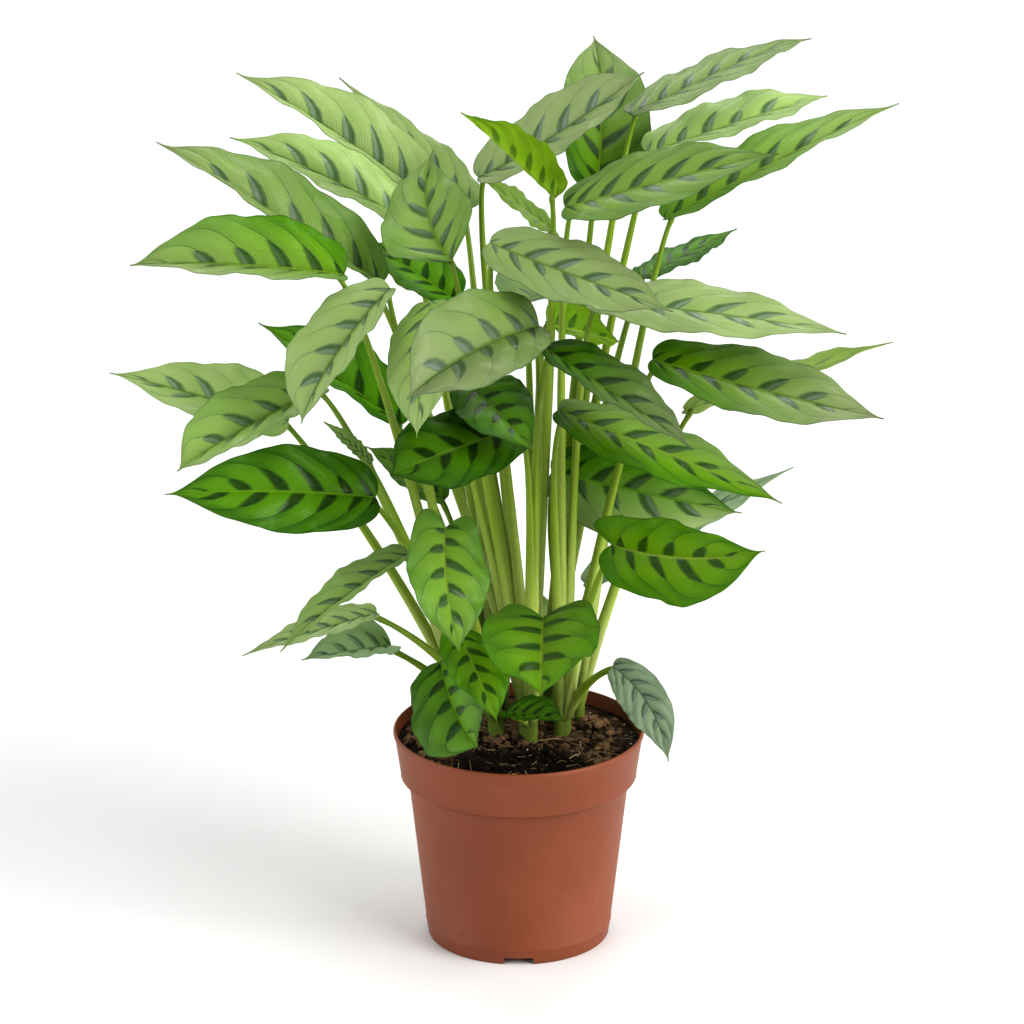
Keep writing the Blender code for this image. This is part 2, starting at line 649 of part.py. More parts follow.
def main():
    clear_scene()
    for number, form in enumerate(LEAVES):
        form["phase"] = (PHASE_STEP * number) % 1.0
    build_pot()
    build_soil()
    for shoot in FEET:
        build_shoot(shoot)
    for form in LEAVES:
        build_blade(form)


main()
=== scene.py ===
"""The looks of a potted calathea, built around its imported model.

Metres, +Z up, -Y towards the viewer. Every leaf blade, shoot, the pot and the soil is a finer
piece that stands for the node of the same place and form.
"""

import math
import random

import bmesh
import bpy
import numpy as np
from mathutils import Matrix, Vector, noise


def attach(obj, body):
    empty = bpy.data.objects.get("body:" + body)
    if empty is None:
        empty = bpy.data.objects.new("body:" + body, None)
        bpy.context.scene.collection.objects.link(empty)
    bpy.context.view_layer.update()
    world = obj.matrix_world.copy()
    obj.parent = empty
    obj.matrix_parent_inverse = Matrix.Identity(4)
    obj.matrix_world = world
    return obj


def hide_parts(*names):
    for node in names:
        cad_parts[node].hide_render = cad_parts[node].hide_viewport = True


# Camera at the photograph's viewing angle
CAMERA_PLACE = (-0.0045, -3.500, 1.554)
CAMERA_AIM = (-0.0045, 0.0, 0.303)
CAMERA_LENS = 195.6
CAMERA_SENSOR = 36.0
CAMERA_REACH = 50.0

# Studio: size, place, aim, power and colour of each lamp
LAMPS = {
    "overhead": ((0.9, 0.9), (-0.7, 0.5, 3.2), (0.0, 0.0, 0.35), 13.0, (0.94, 0.98, 1.0)),
    "backdrop": ((4.0, 1.6), (0.0, 3.6, 3.2), (0.0, 2.6, 0.0), 80.0, (1.0, 1.0, 1.0)),
    "key": ((1.7, 1.7), (2.15, -1.65, 1.5), (0.0, 0.0, 0.25), 70.0, (1.0, 0.99, 0.97)),
    "fill": ((1.6, 1.6), (-2.0, -1.8, 1.7), (0.0, 0.0, 0.25), 25.0, (1.0, 1.0, 1.0)),
    "high": ((1.0, 1.0), (1.2, -0.8, 2.8), (0.0, 0.0, 0.25), 28.0, (1.0, 1.0, 1.0)),
}

# Surroundings: even light, with more from both sides and from behind. Each of the two grows
# from the first to the second share of the direction sideways or back.
SURROUND_STRENGTH = 0.30
SIDE_STRENGTH = 3.0
SIDE_GROWTH = (0.70, 1.00)
BACKDROP_STRENGTH = 0.45
BACKDROP_GROWTH = (0.15, 0.95)
CONTRAST = 0.8
FLOOR_SIZE = 16.0
FLOOR_COLOUR = (232, 232, 233)

# Start of the random draws, and the direction up
DRAW_START = 7
UP = np.array([0.0, 0.0, 1.0])

# Pot, turned about Z
POT_SIDES = 144
POT_HEIGHT = 0.148
RIM_RADIUS = 0.085
LIP_RADIUS = 0.0835
LIP_DROP = 0.0015
BAND_BOTTOM = 0.117
BAND_RADIUS = 0.080
NECK_HEIGHT = 0.109
NECK_RADIUS = 0.0745
STEP_RISE = 0.0025
BASE_RADIUS = 0.062
FOOT_CHAMFER = 0.001
FOOT_ROUND = 0.0003
WALL = 0.0018
FLOOR = 0.002
SKIRT_WIDTH = 0.003
SKIRT_HEIGHT = 0.0055
DISC_RADIUS = 0.028
DISC_SLOPE = 0.003
DISH_INSET = 0.001
RING_HEIGHT = 0.0105
RING_STAND = 0.00035
RING_EDGES = (-0.0008, 0.0007)
RING_FACE = (-0.0004, 0.0002)
SHARP_ANGLE = 35

# Steps out and up: from the neck for the soft step under the band, from the top of the rim for
# its rounded lip, and from the top of the inner wall for the lip's inner edge
STEP_CURVE = ((-0.0006, -0.004), (0.0, 0.0), (0.0004, 0.0018), (0.0014, 0.0036),
              (0.0030, 0.0048), (0.0046, 0.0056), (0.0056, 0.0066))
LIP_CURVE = ((-0.0012, -0.0055), (-0.0001, -0.0030), (0.0, -LIP_DROP), (-0.0003, -0.0007),
             (-0.0008, -0.0002))
LIP_INSIDE = (0.00015, -0.0004)

# Notches in the skirt and drain holes in the raised floor, one of each on every side. The
# first notch faces the viewer, at NOTCH_START degrees about Z.
NOTCH_COUNT = 4
NOTCH_START = 270
NOTCH_WIDTH = 0.021
NOTCH_TOP_WIDTH = 0.019
NOTCH_HEIGHT = 0.005
CUT_PAST = 0.009
DRAIN_RADIUS = 0.0045
DRAIN_PLACE = 0.045
DRAIN_SIDES = 24

# Soil. Each wave of its top has a share of the lumps' height, turns along x and y, and a start.
# The grain's form is its roughness, the step from layer to layer and how many layers it has.
SOIL_SIDES = 120
SOIL_RINGS = 44
SOIL_TOP = 0.1385
SOIL_LUMP = 0.0016
SOIL_HOLLOW = 0.003
HOLLOW_PLACE = -0.012
HOLLOW_WIDTH = 0.028
SOIL_WAVES = ((1.0, 95.0, 80.0, 1.1), (0.5, 60.0, 190.0, 0.0), (0.6, 150.0, -120.0, 2.3))
SOIL_GRAIN = 0.0014
SOIL_GRAIN_TURNS = 260.0
SOIL_GRAIN_FORM = (0.7, 2.2, 4)
# Middle and reach of a painted shade that darkens the soil's front middle under the leaves
PAINTED_SHADE_PLACE = (0.000, -0.060)
PAINTED_SHADE_REACH = (0.038, 0.064)
GAP = 0.0003

# Loose bits on the soil: how many, their least and greatest size, and how far their middle lies
# above the soil as a share of their size
CRUMBS = 1500
CRUMB_SIZE = (0.0009, 0.0044)
CRUMB_LIFT = 0.15
HEAPED_CRUMBS = 560
HEAP_REACH = (0.007, 0.0115)
PERLITE = 46
PERLITE_SIZE = (0.0005, 0.0013)
PERLITE_LIFT = 0.6
LUMP_REACH = 0.985
LUMP_STRETCH = ((0.7, 1.4), (0.6, 1.1), (0.5, 0.9))
LUMP_UNEVEN = (0.72, 1.2)
FIBRES = 80
FIBRE_LENGTH = (0.007, 0.028)
FIBRE_RADIUS = 0.00022
FIBRE_THICKNESS = (0.6, 1.7)
FIBRE_TAPER = 0.4
FIBRE_STEPS = 7
FIBRE_SIDES = 5
FIBRE_REACH = 0.86
FIBRE_LIMIT = 0.95
FIBRE_BEND = 1.6
FIBRE_TILT = 0.25
FIBRE_RISE = 0.4
FIBRE_LIFT = 0.0006

# Stalks. Shares run from the foot to the seat under the blade. The joint is a stalk's last share,
# and the dome that closes its end narrows by the cosine of each angle.
STALK_SIDES = 18
STALK_STEPS = 44
STALK_BOTTOM = 0.128
STALK_START = 0.150
STALK_SPREAD = 0.0038
STALK_LOW = 0.0046
STALK_IN_SOIL = (0.92, 0.97)
STALK_TOP = 0.0016
STALK_RISE = 0.35
STALK_NECK = 0.030
STALK_THINNING = (1.3, 1.5)
SEAT_ALONG = 0.03
SEAT_SINK = 0.0006
SEAT_SPOKES = 12
DOME_ANGLES = (28, 56, 84)
DOME_HEIGHT = 0.7
GROOVE_DEPTH = 0.26
GROOVE_WIDTH = 0.55
GROOVE_FADE = 0.6
GROOVE_LEAST = 0.06
GROOVE_END = 0.93
JOINT_SHARE = 0.14
JOINT_LENGTH = 0.014
JOINT_SWELL = 0.0005

# Leaf blades
BLADE_STEPS = 64
HALF_COLUMNS = (0.025, 0.06, 0.11, 0.18, 0.27, 0.37, 0.48, 0.59, 0.70, 0.80, 0.89, 0.96, 1.0)
BLADE_THICK = 0.0009
RIB_THICK = 0.0018
EDGE_THICK = 0.00045
THICKENING = 0.5
RIB_WIDTH = 0.0013
RIB_SINK = 0.00025
RIB_OUT = 1.15
RIB_BENDS = (0.3, 0.7)
TIP_SHARPNESS = 1.25
TIP_DRAWN = 0.8
TIP_REACH = 5
LOBE_REACH = 0.30
LOBE_CURVE = 1.5
WAVES = 3.2
WAVE_FADE = 1.6
WAVE_OFFSET = 1.3
PHASE_STEP = 0.37
SMALL_STEP = 0.0015
QUILT_HEIGHT = 0.0006
EDGE_RIPPLE = 0.0007
EDGE_RIPPLES = 9.0
EDGE_RIPPLE_PHASES = 3
EDGE_RIPPLE_REACH = 6

# Feather pattern of the blades, along and aside as shares of the blade. A side vein leaves the
# midrib, leans towards the tip and bends on along the margin. Bars lie on the side veins, farther
# apart towards the tip, and one half's stand between the other's. A painted sheen runs along each
# bar. Before each lies a darker bay, partly the blade's own green and partly painted shade beside
# the quilted relief. A pair runs from where a part starts to where it is full. The bars' map holds
# their number divided by the map's scale.
VEIN_LEAN = (0.10, 0.09)
VEIN_BEND = 0.17
VEIN_WANDER = 0.012
VEIN_HALF_WIDTH = 0.05
VEIN_START = (0.25, 0.45)
VEIN_END = (0.99, 0.75)
FINE_VEINS = 62.0
BARS = 6.2
USUAL_SLIMNESS = 2.1
MAP_SCALE = 10.0
BAR_SPREAD = 0.80
BAR_START = 0.02
BAR_STAGGER = 0.42
BAR_SHIFT = 0.3
BAR_LENGTH = 0.57
BAR_LENGTH_VARIES = 0.26
BAR_SHORTENING = 0.16
BAR_HALF_WIDTH = 0.215
BAR_HEEL = 0.36
BAR_SHAPE = 0.65
BAR_EDGE = (-0.06, 0.09)
BAR_OUTER_END = (1.02, 0.96)
BAR_TIP_END = (0.86, 0.70)
BAR_SHEEN_PLACE = 0.58
BAR_SHEEN_SHARE = 0.42
BAR_SHEEN_EDGE = (-0.04, 0.07)
# The darker bay before each bar is partly the blade's own green and partly painted shade beside the
# quilted relief
BAY_START = (0.05, 0.45)
BAY_END = (0.54, 0.48)
BAY_ASIDE = (0.2, 0.6)
RIB_EDGE = (0.045, 0.02)
RIB_END = (1.0, 0.9)
HALF_STEP = (-0.001, 0.001)
MARGIN_LINE = (0.955, 1.0)
MARGIN_REACH = (0.30, 0.98)
BASE_REACH = (0.16, 0.0)

# Noise over a blade: its stretch along and aside, how far apart two leaves take it, its scale and
# its detail. The last is how far apart leaves and halves take the luck of their bars.
WANDER = ((6.0, 2.0), 40.0, 3.0, 3.0)
MOTTLE = ((3.0, 1.0), 23.0, 2.2, 2.0)
GRAIN = ((8.0, 3.0), 11.0, 16.0, 3.0)
LUCK_APART = (57.0, 9.0)

# How much of each part of the pattern goes into a blade's colours, roughness, coat and relief
MARGIN_MIX = dict(outer=0.75, base=0.5, grain=0.7, patch=0.9, fine=0.07, bay=0.45)
BELOW_MARGIN_MIX = dict(mottle=0.5, fine=0.05)
BELOW_BAR_MIX = dict(bar=0.75, line=0.25)
ROUGHNESS_MIX = dict(below=0.20, bar=-0.08, patch=0.16)
COAT_MIX = dict(painted_sheen=0.12, bar=0.15)
RELIEF_MIX = dict(fine=0.10, line=-0.35, rib=-0.4, wander=0.5, grain=0.7, bar=0.8)
BLADE_ROUGHNESS = 0.32
BLADE_COAT = 0.08
BLADE_RELIEF = 0.0004

# How strongly the parts show above, where the painted sheen comes in patches and greys the bars,
# a line fades with the painted sheen and a bar is uneven, and how strongly the midrib shows below
PAINTED_SHEEN_PATCHES = 0.4
PAINTED_SHEEN_ON_BARS = 0.9
LINE_SHOWS = 0.5
LINE_FADES = 0.22
BAR_SHOWS = 0.84
BAR_UNEVEN = 0.4
BAR_SHEEN_SHOWS = 0.6
RIB_SHOWS = 0.85
EDGE_SHOWS = 0.45
RIB_SHOWS_BELOW = 0.8

# Form of a leaf where its own line says nothing else. arch and sweep bend the midrib towards
# the leaf's face and sideways, as shares of its length. widest is where the blade is widest,
# taper how full it stays towards the tip, lobe how far its halves reach back past the stalk.
# fold lifts both halves from the midrib, cup bends them back down, in degrees. wave is the
# height of the margin's waves as a share of the width. bow lifts the stalk's start towards
# the upright, and turn bends the stalk's neck into the line of the blade. pale is how much
# painted sheen the blade has at its stalk and at its tip, a pale grey-green that stands in for
# the reflection of the bright surroundings, and tilt how much more of it the half on its side
# direction has than the other. light is painted light and shade, which makes the whole leaf
# lighter or darker by how brightly it is lit.
LEAF_FORM = dict(arch=(0.0, 0.02), sweep=0.0, widest=0.42, taper=1.75, lobe=0.04, cup=-20.0,
                 wave=0.03, bow=0.4, turn=0.5, tone="fresh", pale=(0.15, 0.35), tilt=0.0,
                 light=0.85)

# Feet of the shoots in the soil
FEET = {
    "front_left": (-0.013, 0.014),
    "left": (-0.032, 0.029),
    "rear_left": (-0.012, 0.051),
    "front": (0.008, 0.006),
    "centre": (0.008, 0.032),
    "front_right": (0.028, 0.016),
    "right": (0.037, 0.038),
    "rear_right": (0.016, 0.054),
}


def leaf(name, shoot, join, tip, width, roll, fold, **more):
    """A leaf from where its stalk joins it to its tip, turned by roll degrees about that line."""
    return dict(LEAF_FORM, name=name, shoot=shoot, join=join, tip=tip, width=width,
                roll=roll, fold=fold, **more)


# Each leaf's pale and tilt set its painted sheen, and its light is painted light and shade.
LEAVES = [
    leaf("left_top_long", "rear_left", (-0.063, 0.075, 0.501), (-0.188, 0.090, 0.582),
         0.062, 25, 48, arch=(0.02, 0.03), pale=(0.75, 0.9), light=1.05),
    leaf("left_top_rear", "rear_left", (-0.034, 0.120, 0.478), (-0.122, 0.170, 0.557),
         0.056, 0, 22, widest=0.24, taper=1.5, pale=(0.6, 0.9), light=0.9),
    leaf("left_upper_long", "centre", (-0.092, 0.024, 0.455), (-0.238, 0.024, 0.553),
         0.068, 20, 42, arch=(0.01, 0.02), taper=2.0, pale=(0.25, 0.9), tilt=0.1, light=0.8),
    leaf("left_upper_rear", "rear_left", (-0.073, 0.105, 0.473), (-0.195, 0.120, 0.529),
         0.058, 20, 35, arch=(0.04, 0.05), pale=(0.9, 0.8), light=1.5),
    leaf("left_upper_front", "left", (-0.114, -0.025, 0.477), (-0.253, -0.040, 0.488),
         0.068, 30, 46, arch=(0.03, 0.05), taper=2.2, pale=(0.05, 0.85), tilt=0.3, light=0.88),
    leaf("left_upright", "centre", (-0.044, -0.020, 0.484), (-0.057, 0.075, 0.533),
         0.070, 25, 30, sweep=0.13, widest=0.24, lobe=-0.06, pale=(0.35, 0.6), light=0.9),
    leaf("left_inner", "rear_left", (-0.042, 0.030, 0.442), (-0.101, 0.066, 0.472),
         0.048, 20, 30, tone="deep", pale=(0.0, 0.2), light=1.4),
    leaf("left_hanging", "left", (-0.084, -0.030, 0.469), (-0.141, -0.095, 0.398),
         0.060, 0, 38, sweep=-0.08, widest=0.52, taper=2.3, turn=0.0, tone="pale",
         pale=(0.75, 0.8), light=1.04),
    leaf("left_middle_rear", "rear_left", (-0.078, 0.028, 0.355), (-0.174, 0.050, 0.420),
         0.060, 20, 42, tone="deep", pale=(0.0, 0.15), light=1.55),
    leaf("left_middle_far", "left", (-0.154, 0.025, 0.359), (-0.274, 0.040, 0.388),
         0.056, 35, 30, widest=0.30, tone="pale", pale=(0.8, 0.8), light=1.48),
    leaf("left_middle_near", "left", (-0.129, -0.015, 0.395), (-0.224, -0.060, 0.353),
         0.058, 20, 40, arch=(0.03, 0.05), widest=0.55, taper=2.6, pale=(0.45, 0.65), tilt=0.1,
         light=1.08),
    leaf("left_broad", "front_left", (-0.094, -0.055, 0.333), (-0.231, -0.080, 0.344),
         0.062, 53, 22, arch=(0.08, 0.09), tone="deep", pale=(0.0, 0.05), light=0.88),
    leaf("left_young", "left", (-0.097, -0.022, 0.346), (-0.128, -0.030, 0.377),
         0.014, 35, 20, pale=(0.6, 0.6), light=1.3),
    leaf("left_small_inner", "rear_left", (-0.050, 0.056, 0.292), (-0.103, 0.066, 0.327),
         0.034, 25, 25),
    leaf("left_low_long", "front_left", (-0.073, -0.062, 0.296), (-0.157, -0.090, 0.238),
         0.036, 10, 38, arch=(0.03, 0.05), pale=(0.55, 0.65), light=1.08),
    leaf("left_low_slim", "front_left", (-0.095, -0.020, 0.239), (-0.184, -0.045, 0.218),
         0.032, 10, 25, widest=0.30, tone="pale", pale=(0.9, 0.9), light=1.25),
    leaf("left_low_pale", "left", (-0.086, 0.005, 0.206), (-0.145, -0.035, 0.211),
         0.044, 20, 38, widest=0.30, tone="grey_sheen", pale=(0.75, 0.75), light=1.45),
    leaf("centre_glossy", "front", (0.013, -0.060, 0.453), (-0.071, -0.150, 0.433),
         0.076, 36, 40, arch=(0.04, 0.04), sweep=-0.05, widest=0.52, taper=2.4, lobe=0.02,
         tone="pale", pale=(0.3, 1.0), tilt=0.1, light=0.62),
    leaf("centre_left", "front", (-0.058, -0.035, 0.461), (-0.066, -0.115, 0.395),
         0.054, -20, 10, turn=0.0, tone="pale", pale=(0.4, 0.9), light=1.25),
    leaf("centre_forward", "front", (-0.032, -0.045, 0.409), (0.009, -0.125, 0.389),
         0.050, -20, 25, tone="deep", pale=(0.0, 0.1), light=0.85),
    leaf("centre_dark", "front", (0.003, -0.066, 0.387), (-0.083, -0.124, 0.373),
         0.060, 30, 15, widest=0.55, taper=3.0, tone="deep", pale=(0.0, 0.0), light=0.58),
    leaf("front_hanging", "front_left", (-0.048, -0.075, 0.319), (-0.038, -0.140, 0.255),
         0.058, 15, 20, sweep=-0.06, lobe=0.18, pale=(0.2, 0.25), light=0.78),
    leaf("front_lower", "front_left", (-0.040, -0.070, 0.245), (-0.014, -0.130, 0.204),
         0.046, 10, 15, pale=(0.0, 0.1), light=0.98),
    leaf("front_heart", "front", (0.016, -0.067, 0.253), (0.014, -0.166, 0.237),
         0.082, -4, 28, taper=2.6, lobe=0.16, pale=(0.1, 0.05), light=0.8),
    leaf("front_rim_left", "front_left", (-0.052, -0.050, 0.215), (-0.027, -0.110, 0.178),
         0.062, -55, 32, sweep=-0.08, widest=0.60, taper=3.4, tone="deep", pale=(0.05, 0.2),
         light=0.9),
    leaf("front_curled", "front", (-0.008, -0.020, 0.168), (0.031, -0.055, 0.175),
         0.032, -15, 32, tone="deep", pale=(0.0, 0.0), light=0.86),
    leaf("front_rim_right", "front_right", (0.063, -0.020, 0.200), (0.100, -0.045, 0.141),
         0.034, -75, 15, sweep=0.16, tone="grey_sheen", pale=(1.0, 1.0), light=0.97),
    leaf("right_bright", "front_right", (0.061, -0.050, 0.298), (0.159, -0.120, 0.319),
         0.066, -100, 23, arch=(0.04, 0.04), sweep=-0.06, lobe=0.14, pale=(0.0, 0.0), light=0.82),
    leaf("right_dark", "right", (0.022, 0.024, 0.323), (0.149, 0.000, 0.302),
         0.068, -88, 28, tone="deep", pale=(0.1, 0.6), tilt=-0.55, light=1.08),
    leaf("right_low_rear", "right", (0.045, 0.060, 0.231), (0.187, 0.075, 0.309),
         0.044, -10, 15, tone="grey_sheen", pale=(0.9, 0.9), light=1.25),
    leaf("right_middle_near", "front_right", (0.026, -0.062, 0.396), (0.171, -0.100, 0.345),
         0.060, -15, 12, pale=(0.25, 0.1), tilt=0.35, light=0.75),
    leaf("right_hanging", "front", (0.018, -0.075, 0.442), (0.112, -0.130, 0.392),
         0.052, -5, 30, tone="deep", pale=(-0.25, 0.95), light=0.52),
    leaf("right_middle_far", "front_right", (0.088, -0.020, 0.417), (0.239, -0.050, 0.386),
         0.062, -25, 20, arch=(-0.02, -0.02), widest=0.48, taper=1.9, pale=(-0.25, 1.2),
         light=0.68),
    leaf("right_middle_rear", "right", (0.111, 0.030, 0.365), (0.252, 0.070, 0.400),
         0.046, 40, 15, tone="pale", pale=(1.0, 1.0), light=0.86),
    leaf("centre_right_broad", "centre", (-0.019, -0.040, 0.503), (0.099, -0.090, 0.472),
         0.056, -25, 15, arch=(-0.02, 0.0), taper=2.0, tone="pale", pale=(0.7, 0.85), light=0.7),
    leaf("right_upper_long", "front_right", (0.047, -0.010, 0.456), (0.214, -0.040, 0.441),
         0.062, -15, 15, pale=(0.85, 0.9), light=0.95),
    leaf("centre_inner", "centre", (0.019, 0.035, 0.425), (0.067, -0.015, 0.427),
         0.044, 60, 32, pale=(0.2, 0.4), light=1.6),
    leaf("right_upper_small", "rear_right", (0.080, 0.030, 0.458), (0.147, 0.095, 0.472),
         0.036, 5, 12, tone="deep", pale=(0.0, 0.0), light=0.95),
    leaf("right_top_near", "front_right", (0.030, -0.025, 0.523), (0.166, -0.070, 0.572),
         0.058, -30, 18, pale=(0.35, 0.45), light=0.76),
    leaf("right_top_long", "right", (0.096, 0.016, 0.503), (0.250, 0.036, 0.576),
         0.058, -10, 30, pale=(0.1, 0.7), light=1.0),
    leaf("right_top_middle", "rear_right", (0.086, 0.055, 0.537), (0.208, 0.120, 0.558),
         0.054, -5, 25, widest=0.50, taper=2.4, pale=(0.6, 0.75), light=1.26),
    leaf("right_top_high", "rear_right", (0.074, 0.050, 0.565), (0.196, 0.115, 0.599),
         0.050, 0, 15, arch=(0.0, 0.06), taper=2.2, pale=(0.65, 0.65), light=0.72),
    leaf("top_pale", "centre", (-0.027, 0.040, 0.524), (0.082, 0.040, 0.596),
         0.054, -30, 30, arch=(-0.07, -0.04), widest=0.52, taper=2.3, tone="pale",
         pale=(0.9, 0.9), light=0.78),
    leaf("top_folded", "centre", (0.024, -0.005, 0.524), (-0.037, -0.055, 0.595),
         0.042, -10, 58, pale=(0.0, 0.2), light=0.9),
    leaf("top_tall", "rear_right", (0.051, 0.065, 0.506), (0.051, 0.160, 0.589),
         0.066, -15, 30, sweep=-0.05, taper=2.4, pale=(-0.2, 0.9), light=0.72),
    leaf("top_rear_small", "centre", (0.025, 0.060, 0.481), (-0.026, 0.125, 0.499),
         0.034, -60, 12, tone="pale", pale=(1.0, 1.0), light=1.6),
    leaf("back_left", "rear_left", (-0.036, 0.094, 0.300), (-0.066, 0.188, 0.300),
         0.056, 0, 20),
    leaf("back_upper", "rear_right", (0.006, 0.070, 0.428), (0.020, 0.190, 0.417),
         0.056, 0, 20),
    leaf("back_right", "rear_right", (0.058, 0.065, 0.336), (0.098, 0.180, 0.271),
         0.058, 0, 20),
    leaf("back_low", "rear_left", (-0.002, 0.092, 0.208), (0.010, 0.180, 0.140),
         0.052, 0, 20),
]


def srgb(red, green, blue):
    """Linear colour of a screen colour given from 0 to 255."""
    made = []
    for part in (red, green, blue):
        share = part / 255
        made.append(share / 12.92 if share <= 0.04045 else ((share + 0.055) / 1.055) ** 2.4)
    return (*made, 1.0)


class Socket:
    """An output in a material's node tree. An expression on it adds the nodes that it needs."""

    def __init__(self, web, link):
        self.web = web
        self.link = link

    def maths(self, operation, first, second=None):
        values = {0: first} if second is None else {0: first, 1: second}
        return self.web.node("ShaderNodeMath", {"operation": operation}, values)

    def __add__(self, other):
        return self.maths("ADD", self, other)

    def __radd__(self, other):
        return self.maths("ADD", other, self)

    def __sub__(self, other):
        return self.maths("SUBTRACT", self, other)

    def __rsub__(self, other):
        return self.maths("SUBTRACT", other, self)

    def __mul__(self, other):
        return self.maths("MULTIPLY", self, other)

    def __rmul__(self, other):
        return self.maths("MULTIPLY", other, self)

    def __truediv__(self, other):
        return self.maths("DIVIDE", self, other)

    def __pow__(self, other):
        return self.maths("POWER", self, other)

    def __abs__(self):
        return self.maths("ABSOLUTE", self)

    def at_least(self, other):
        return self.maths("MAXIMUM", self, other)

    def floor(self):
        return self.maths("FLOOR", self)

    def sine(self):
        return self.maths("SINE", self)

    def rise(self, low, high):
        """0 below low, 1 above high and a smooth step between. High may be the lower one."""
        settings = {"interpolation_type": "SMOOTHSTEP", "clamp": True}
        return self.web.node("ShaderNodeMapRange", settings, {0: self, 1: low, 2: high})


class Web:
    """A node tree whose nodes are made through one method."""

    def __init__(self, tree):
        self.tree = tree

    def node(self, kind, settings, sockets, output=0):
        """A node of a kind: its settings first, then the values or links of its sockets."""
        made = self.tree.nodes.new(kind)
        for key, value in settings.items():
            setattr(made, key, value)
        for key, value in sockets.items():
            self.feed(made.inputs[key], value)
        return Socket(self, made.outputs[output])

    def feed(self, entry, value):
        """Gives an input a link, or else a value of its own."""
        if isinstance(value, Socket):
            self.tree.links.new(value.link, entry)
        else:
            entry.default_value = value

    def apart(self, vector):
        """The first two numbers of a vector."""
        split = self.tree.nodes.new("ShaderNodeSeparateXYZ")
        self.feed(split.inputs[0], vector)
        return [Socket(self, split.outputs[k]) for k in range(2)]

    def coordinates(self, kind):
        """Places in a piece's own frame, or for the surroundings the direction to them."""
        return self.node("ShaderNodeTexCoord", {}, {}, kind)


class Finish(Web):
    """A material of one shader."""

    def __init__(self, name, **constants):
        self.material = bpy.data.materials.new(name)
        self.material.use_nodes = True
        super().__init__(self.material.node_tree)
        self.shader = self.tree.nodes["Principled BSDF"]
        for key, value in constants.items():
            self.shader.inputs[key.replace("_", " ")].default_value = value

    def wear(self, **sockets):
        """Links what varies over the surface to the shader."""
        for key, value in sockets.items():
            self.feed(self.shader.inputs[key.replace("_", " ")], value)
        return self.material

    def map(self, name):
        """The two numbers of a UV map of the piece."""
        place = self.node("ShaderNodeUVMap", {"uv_map": name}, {})
        return self.apart(place)

    def out_of_painted_shade(self):
        """How far a place is out of the painted shade on the soil's front middle, from 0 inside to
        1.
        """
        x, y = self.apart(self.coordinates("Object"))
        away = ((x - PAINTED_SHADE_PLACE[0]) ** 2.0 + (y - PAINTED_SHADE_PLACE[1]) ** 2.0) ** 0.5
        return away.rise(*PAINTED_SHADE_REACH)

    def join(self, x, y, z=0.0):
        return self.node("ShaderNodeCombineXYZ", {}, {0: x, 1: y, 2: z})

    def noise(self, vector, scale, detail=2.0):
        sockets = {"Vector": vector, "Scale": scale, "Detail": detail}
        return self.node("ShaderNodeTexNoise", {"noise_dimensions": "3D"}, sockets)

    def chance(self, vector):
        """A number from 0 to 1 that stays the same for the same vector."""
        return self.node("ShaderNodeTexWhiteNoise", {"noise_dimensions": "3D"}, {"Vector": vector})

    def blend(self, share, first, second):
        """A colour between two others."""
        settings = {"data_type": "RGBA", "clamp_factor": True}
        return self.node("ShaderNodeMix", settings, {0: share, 6: first, 7: second}, 2)

    def layer(self, colour, mask, reach, strength, over):
        """A colour with a screen colour over it, where the mask rises through its reach."""
        return self.blend(mask.rise(*reach) * strength, colour, srgb(*over))

    def dimmed(self, colour, light):
        """A colour with its light scaled."""
        return self.node("ShaderNodeVectorMath", {"operation": "SCALE"}, {0: colour, "Scale": light})

    def relief(self, height, distance, strength=1.0):
        """The normal of a surface with a fine relief, its full height given in metres."""
        sockets = {"Height": height, "Distance": distance, "Strength": strength}
        return self.node("ShaderNodeBump", {}, sockets)


# Screen colours of the blade's field, its margin, its bars and its midrib, above and below. The
# undersides' colours are partly their own paler green and partly painted light shining through
# the blade, and the last tone's greyer colours are a painted sheen.
TONES = {
    "fresh": dict(field=(118, 166, 6), margin=(82, 138, 2), bar=(20, 66, 2),
                  rib=(150, 180, 56), below=(140, 174, 34), bar_below=(62, 100, 14)),
    "deep": dict(field=(96, 150, 1), margin=(54, 108, 0), bar=(8, 48, 0),
                 rib=(118, 164, 26), below=(126, 164, 34), bar_below=(56, 92, 12)),
    "pale": dict(field=(128, 166, 34), margin=(100, 146, 18), bar=(32, 76, 18),
                 rib=(156, 184, 80), below=(150, 174, 86), bar_below=(102, 132, 58)),
    "grey_sheen": dict(field=(132, 160, 96), margin=(104, 136, 70), bar=(44, 80, 44),
                   rib=(140, 168, 100), below=(148, 168, 116), bar_below=(100, 126, 82)),
}

# Painted sheen: a pale grey-green that stands in for the reflection of the bright surroundings,
# which the shades above turn to, and the colour of the painted sheen along a bar
PAINTED_SHEEN_TONES = {
    "fresh": dict(field=(162, 179, 124), bar=(78, 108, 76), rib=(94, 132, 62)),
    "deep": dict(field=(162, 179, 124), bar=(70, 102, 68), rib=(94, 132, 62)),
    "pale": dict(field=(162, 179, 126), bar=(82, 112, 82), rib=(94, 132, 62)),
    "grey_sheen": dict(field=(152, 172, 142), bar=(78, 106, 88), rib=(96, 126, 92)),
}
BAR_SHEEN_COLOUR = (158, 174, 158)

# The record's slot of each tone
SLOTS = {"fresh": "leaf_fresh", "deep": "leaf_deep", "pale": "leaf_pale", "grey_sheen": "leaf_pale"}

